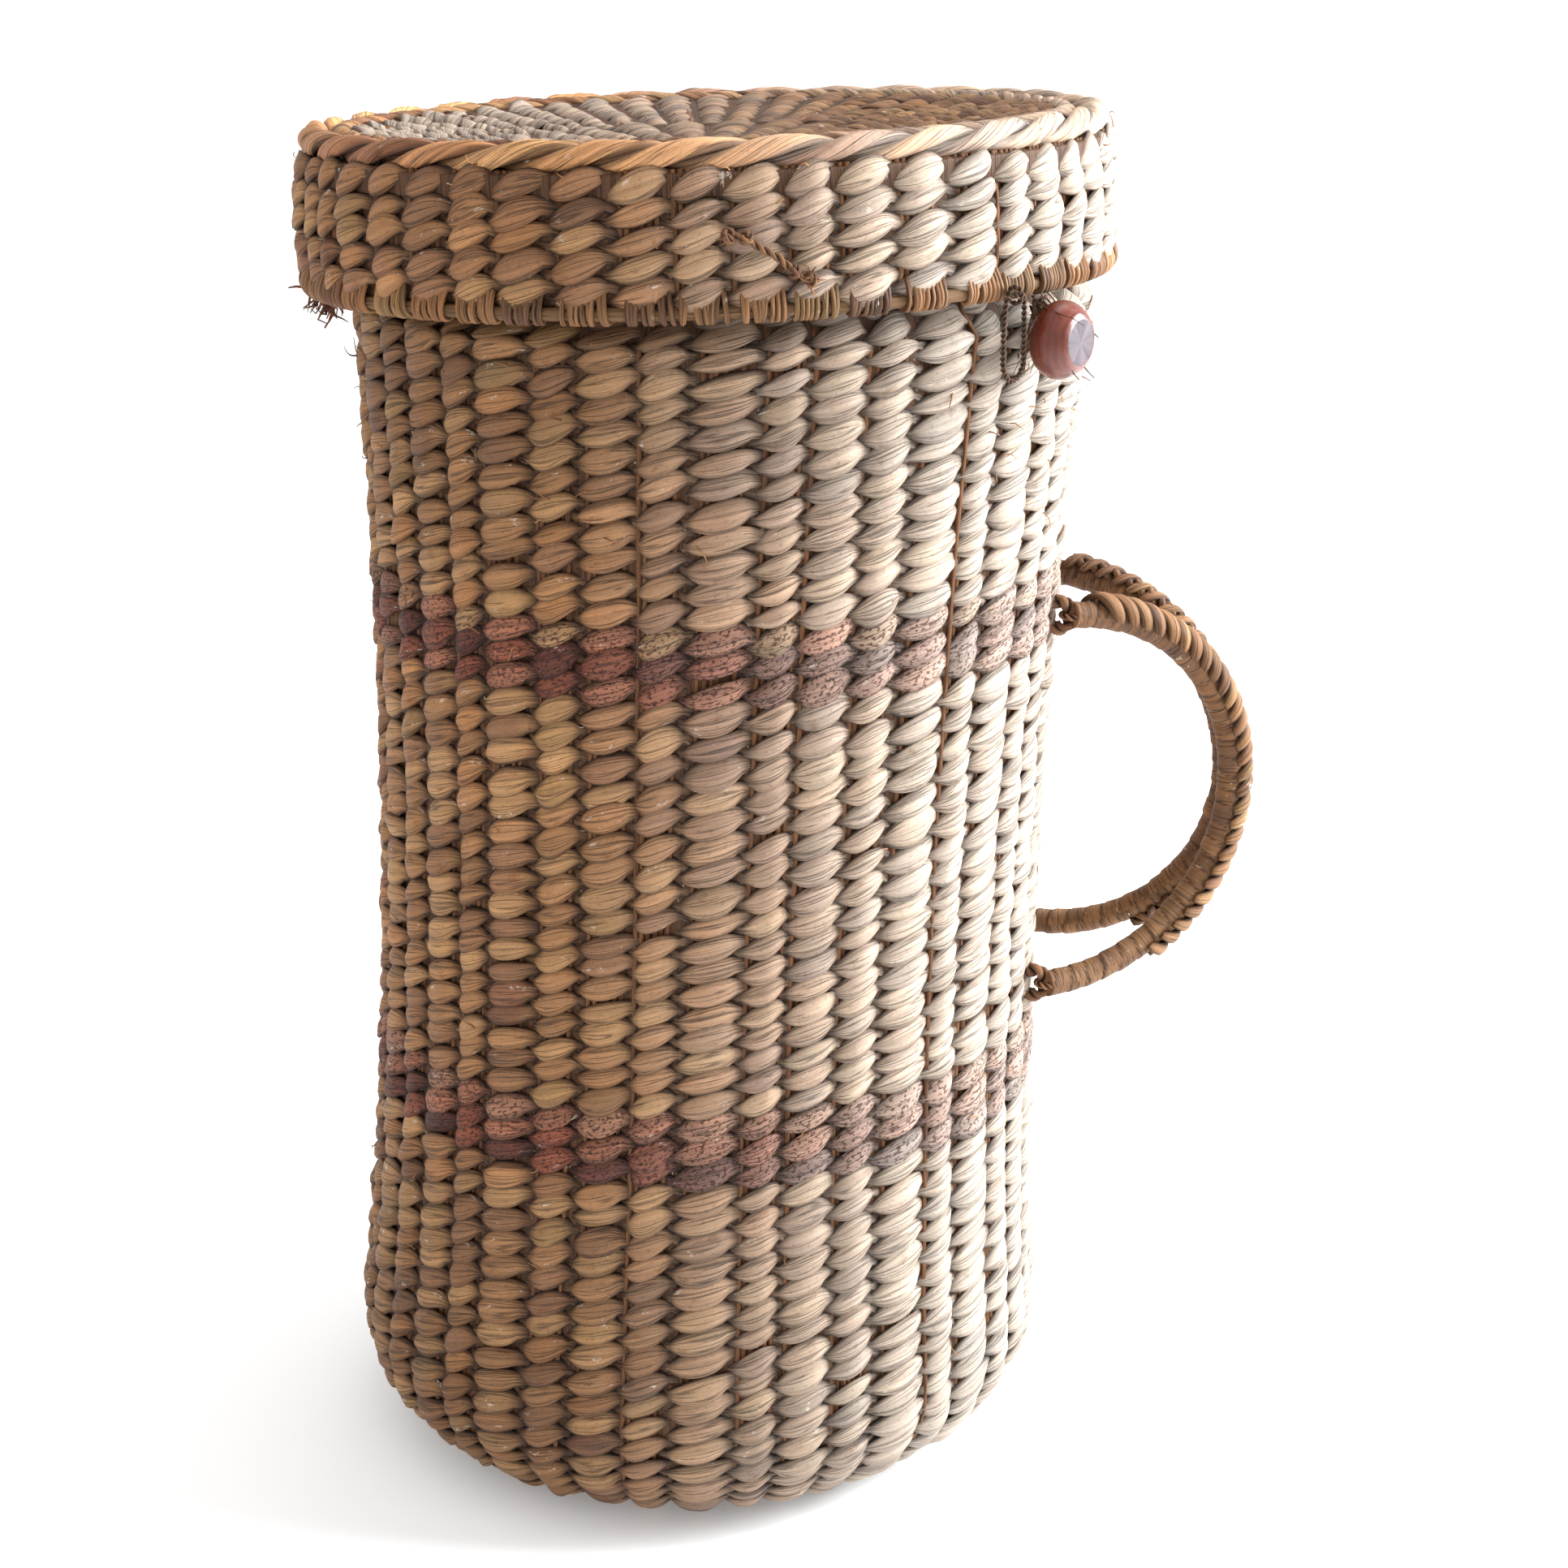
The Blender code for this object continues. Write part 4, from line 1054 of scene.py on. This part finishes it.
def make_loose_fibres(stalk):
    """Frayed leaf ends about the knob, under the lid and out of the weave."""
    build = Build()
    greys = STRAWS[[3, 5, 7]] * 0.55
    place = wall_point(radians(-1.6), 0.529, 0.0040)
    frayed(build, place, (0.1, 0.02, -1.0), 26, 0.032, 0.0022, greys, radius=0.0005, curl=0.16)
    for _ in range(150):
        angle = rng.uniform(0, 2 * pi)
        z = rng.choice((rng.uniform(0.44, 0.522), rng.uniform(0.06, 0.52)))
        start = np.array(wall_point(angle, z, rng.uniform(-0.002, 0.0)))
        out = np.array(radial(angle))
        side = np.array((-sin(angle), cos(angle), 0.0)) * rng.choice((-1.0, 1.0))
        way = 0.28 * out + side + np.array((0, 0, rng.normal(0, 0.5)))
        tone = STRAWS[rng.integers(0, len(STRAWS))] * rng.uniform(0.7, 1.4)
        strand(build, wisp(start, way, rng.uniform(0.004, 0.011), 0.25), rng.uniform(0.00022, 0.0004), tone,
               sides=4, taper=0.6, step=0.0015)
    build.piece("loose_fibres", stalk, "basket", slot="straw")
    build = Build()
    for _ in range(50):
        angle = rng.uniform(0, 2 * pi)
        radius, z = SKIRT[1][0] - 0.003, rng.choice((rng.uniform(0.052, 0.060), rng.uniform(0.0, 0.055)))
        start = np.array(LID_FRAME @ Vector((radius * cos(angle), radius * sin(angle), z)))
        out = np.array(radial(angle))
        side = np.array((-sin(angle), cos(angle), 0.0)) * rng.choice((-1.0, 1.0))
        way = 0.35 * out + side + np.array((0, 0, rng.normal(0, 0.6)))
        tone = STRAWS[rng.integers(0, len(STRAWS))] * rng.uniform(0.8, 1.5)
        strand(build, wisp(start, way, rng.uniform(0.003, 0.007), 0.25), rng.uniform(0.00022, 0.0004), tone,
               sides=4, taper=0.6, step=0.0015)
    build.piece("lid_loose_fibres", stalk, "lid", slot="straw")


def wood_material():
    """Red-brown varnish, worn pale in places; the matt end face shows its grain."""
    n = Nodes("varnished_wood")
    tone = n.tone()
    grain = n.noise(n.scaled(700.0, 60.0), detail=4.0)
    cloud = n.noise(n.scaled(60.0, 60.0), detail=5.0, roughness=0.7)
    shade = n.ramp(grain, 0.3, 0.7, 0.72, 1.18)
    grey = n.add("ShaderNodeCombineColor", Red=shade, Green=shade, Blue=shade).outputs["Color"]
    colour = n.mix(1.0, tone, grey, "MULTIPLY")
    worn = n.mix(1.0, colour, (1.7, 1.9, 2.2), "MULTIPLY")
    colour = n.mix(n.ramp(cloud, 0.54, 0.70, 0.0, 0.6), colour, worn)
    dark = n.mix(1.0, colour, (0.50, 0.40, 0.40), "MULTIPLY")
    colour = n.mix(n.ramp(cloud, 0.46, 0.32, 0.0, 0.6), colour, dark)
    n.link(colour, n.shader.inputs["Base Color"])
    split = n.add("ShaderNodeSeparateColor", Color=tone)
    matt = n.ramp(split.outputs["Blue"], 0.03, 0.20, 0.0, 0.40)
    rough = n.math("ADD", n.ramp(cloud, 0.4, 0.7, 0.24, 0.48), matt)
    n.link(rough, n.shader.inputs["Roughness"])
    n.bump(n.math("ADD", grain, cloud), 0.35, 0.0005)
    return n.material


# ---------------------------------------------------------------- stage, lights and camera
VIEW_ANGLE = radians(40.0)
VIEW_DISTANCE = 1.2178
VIEW_HEIGHT = 0.6966
VIEW_PITCH = radians(18.12)
VIEW_YAW = radians(1.957)
LENS = 65.45


def make_stage():
    right = Vector((cos(VIEW_ANGLE), sin(VIEW_ANGLE), 0.0))
    ahead = Vector((-sin(VIEW_ANGLE), cos(VIEW_ANGLE), 0.0))
    camera = bpy.data.cameras.new("camera")
    camera.lens = LENS
    camera.sensor_width = 36.0
    obj = bpy.data.objects.new("camera", camera)
    obj.location = -ahead * VIEW_DISTANCE + Vector((0.0, 0.0, VIEW_HEIGHT))
    obj.rotation_euler = (pi / 2 - VIEW_PITCH, 0.0, VIEW_ANGLE - VIEW_YAW)
    bpy.context.scene.collection.objects.link(obj)
    bpy.context.scene.camera = obj
    bpy.ops.mesh.primitive_plane_add(size=60.0, location=(0.0, 0.0, 0.0))
    floor = bpy.context.object
    floor.name = "floor"
    n = Nodes("pale_floor")
    n.shader.inputs["Base Color"].default_value = (0.88, 0.89, 0.90, 1.0)
    n.shader.inputs["Emission Color"].default_value = (1.0, 1.0, 1.0, 1.0)
    n.shader.inputs["Emission Strength"].default_value = 0.16
    n.shader.inputs["Roughness"].default_value = 0.9
    floor.data.materials.append(n.material)
    world = bpy.data.worlds.new("studio")
    world.use_nodes = True
    world.node_tree.nodes["Background"].inputs["Color"].default_value = (1.0, 0.99, 0.98, 1.0)
    world.node_tree.nodes["Background"].inputs["Strength"].default_value = 1.10
    bpy.context.scene.world = world
    target = Vector((0.0, 0.0, 0.30))
    lamps = (("key", right * 1.5 + ahead * 0.05 + Vector((0, 0, 0.95)), 1.0, 88.0, (0.93, 0.97, 1.0)),
             ("top", ahead * 0.5 + right * 0.3 + Vector((0, 0, 1.9)), 1.0, 8.0, (1.0, 0.98, 0.95)))
    for name, place, size, power, colour in lamps:
        data = bpy.data.lights.new(name, "AREA")
        data.size = size
        data.energy = power
        data.color = colour
        lamp = bpy.data.objects.new(name, data)
        lamp.location = place
        lamp.rotation_euler = (place - target).to_track_quat("Z", "Y").to_euler()
        bpy.context.scene.collection.objects.link(lamp)
    bpy.context.scene.view_settings.view_transform = "Standard"


# ---------------------------------------------------------------- all of it
leaf = leaf_material("rush_leaf")
disc_leaf = leaf_material("rush_leaf_fine", fibre=1.3)
dyed = leaf_material("dyed_rush_leaf", specks=0.90, wash=0.20, rare=0.545)
raffia = leaf_material("raffia", specks=0.08, wash=0.25, relief=1.0)
stalk = leaf_material("stalk_fibres", specks=0.1, wash=0.2)
old_twine = twine_material()

make_stage()
make_body(leaf, dyed, stalk)
make_body_ropes(leaf)
make_lid(leaf, disc_leaf, stalk)
for hoop, side in (("handle_front", -1.0), ("handle_rear", 1.0)):
    make_hoop(hoop, side, raffia, old_twine)
make_knob(wood_material(), old_twine)
make_closing_loop(old_twine)
make_hinges(old_twine)
make_skirt_tie(old_twine)
make_loose_fibres(stalk)
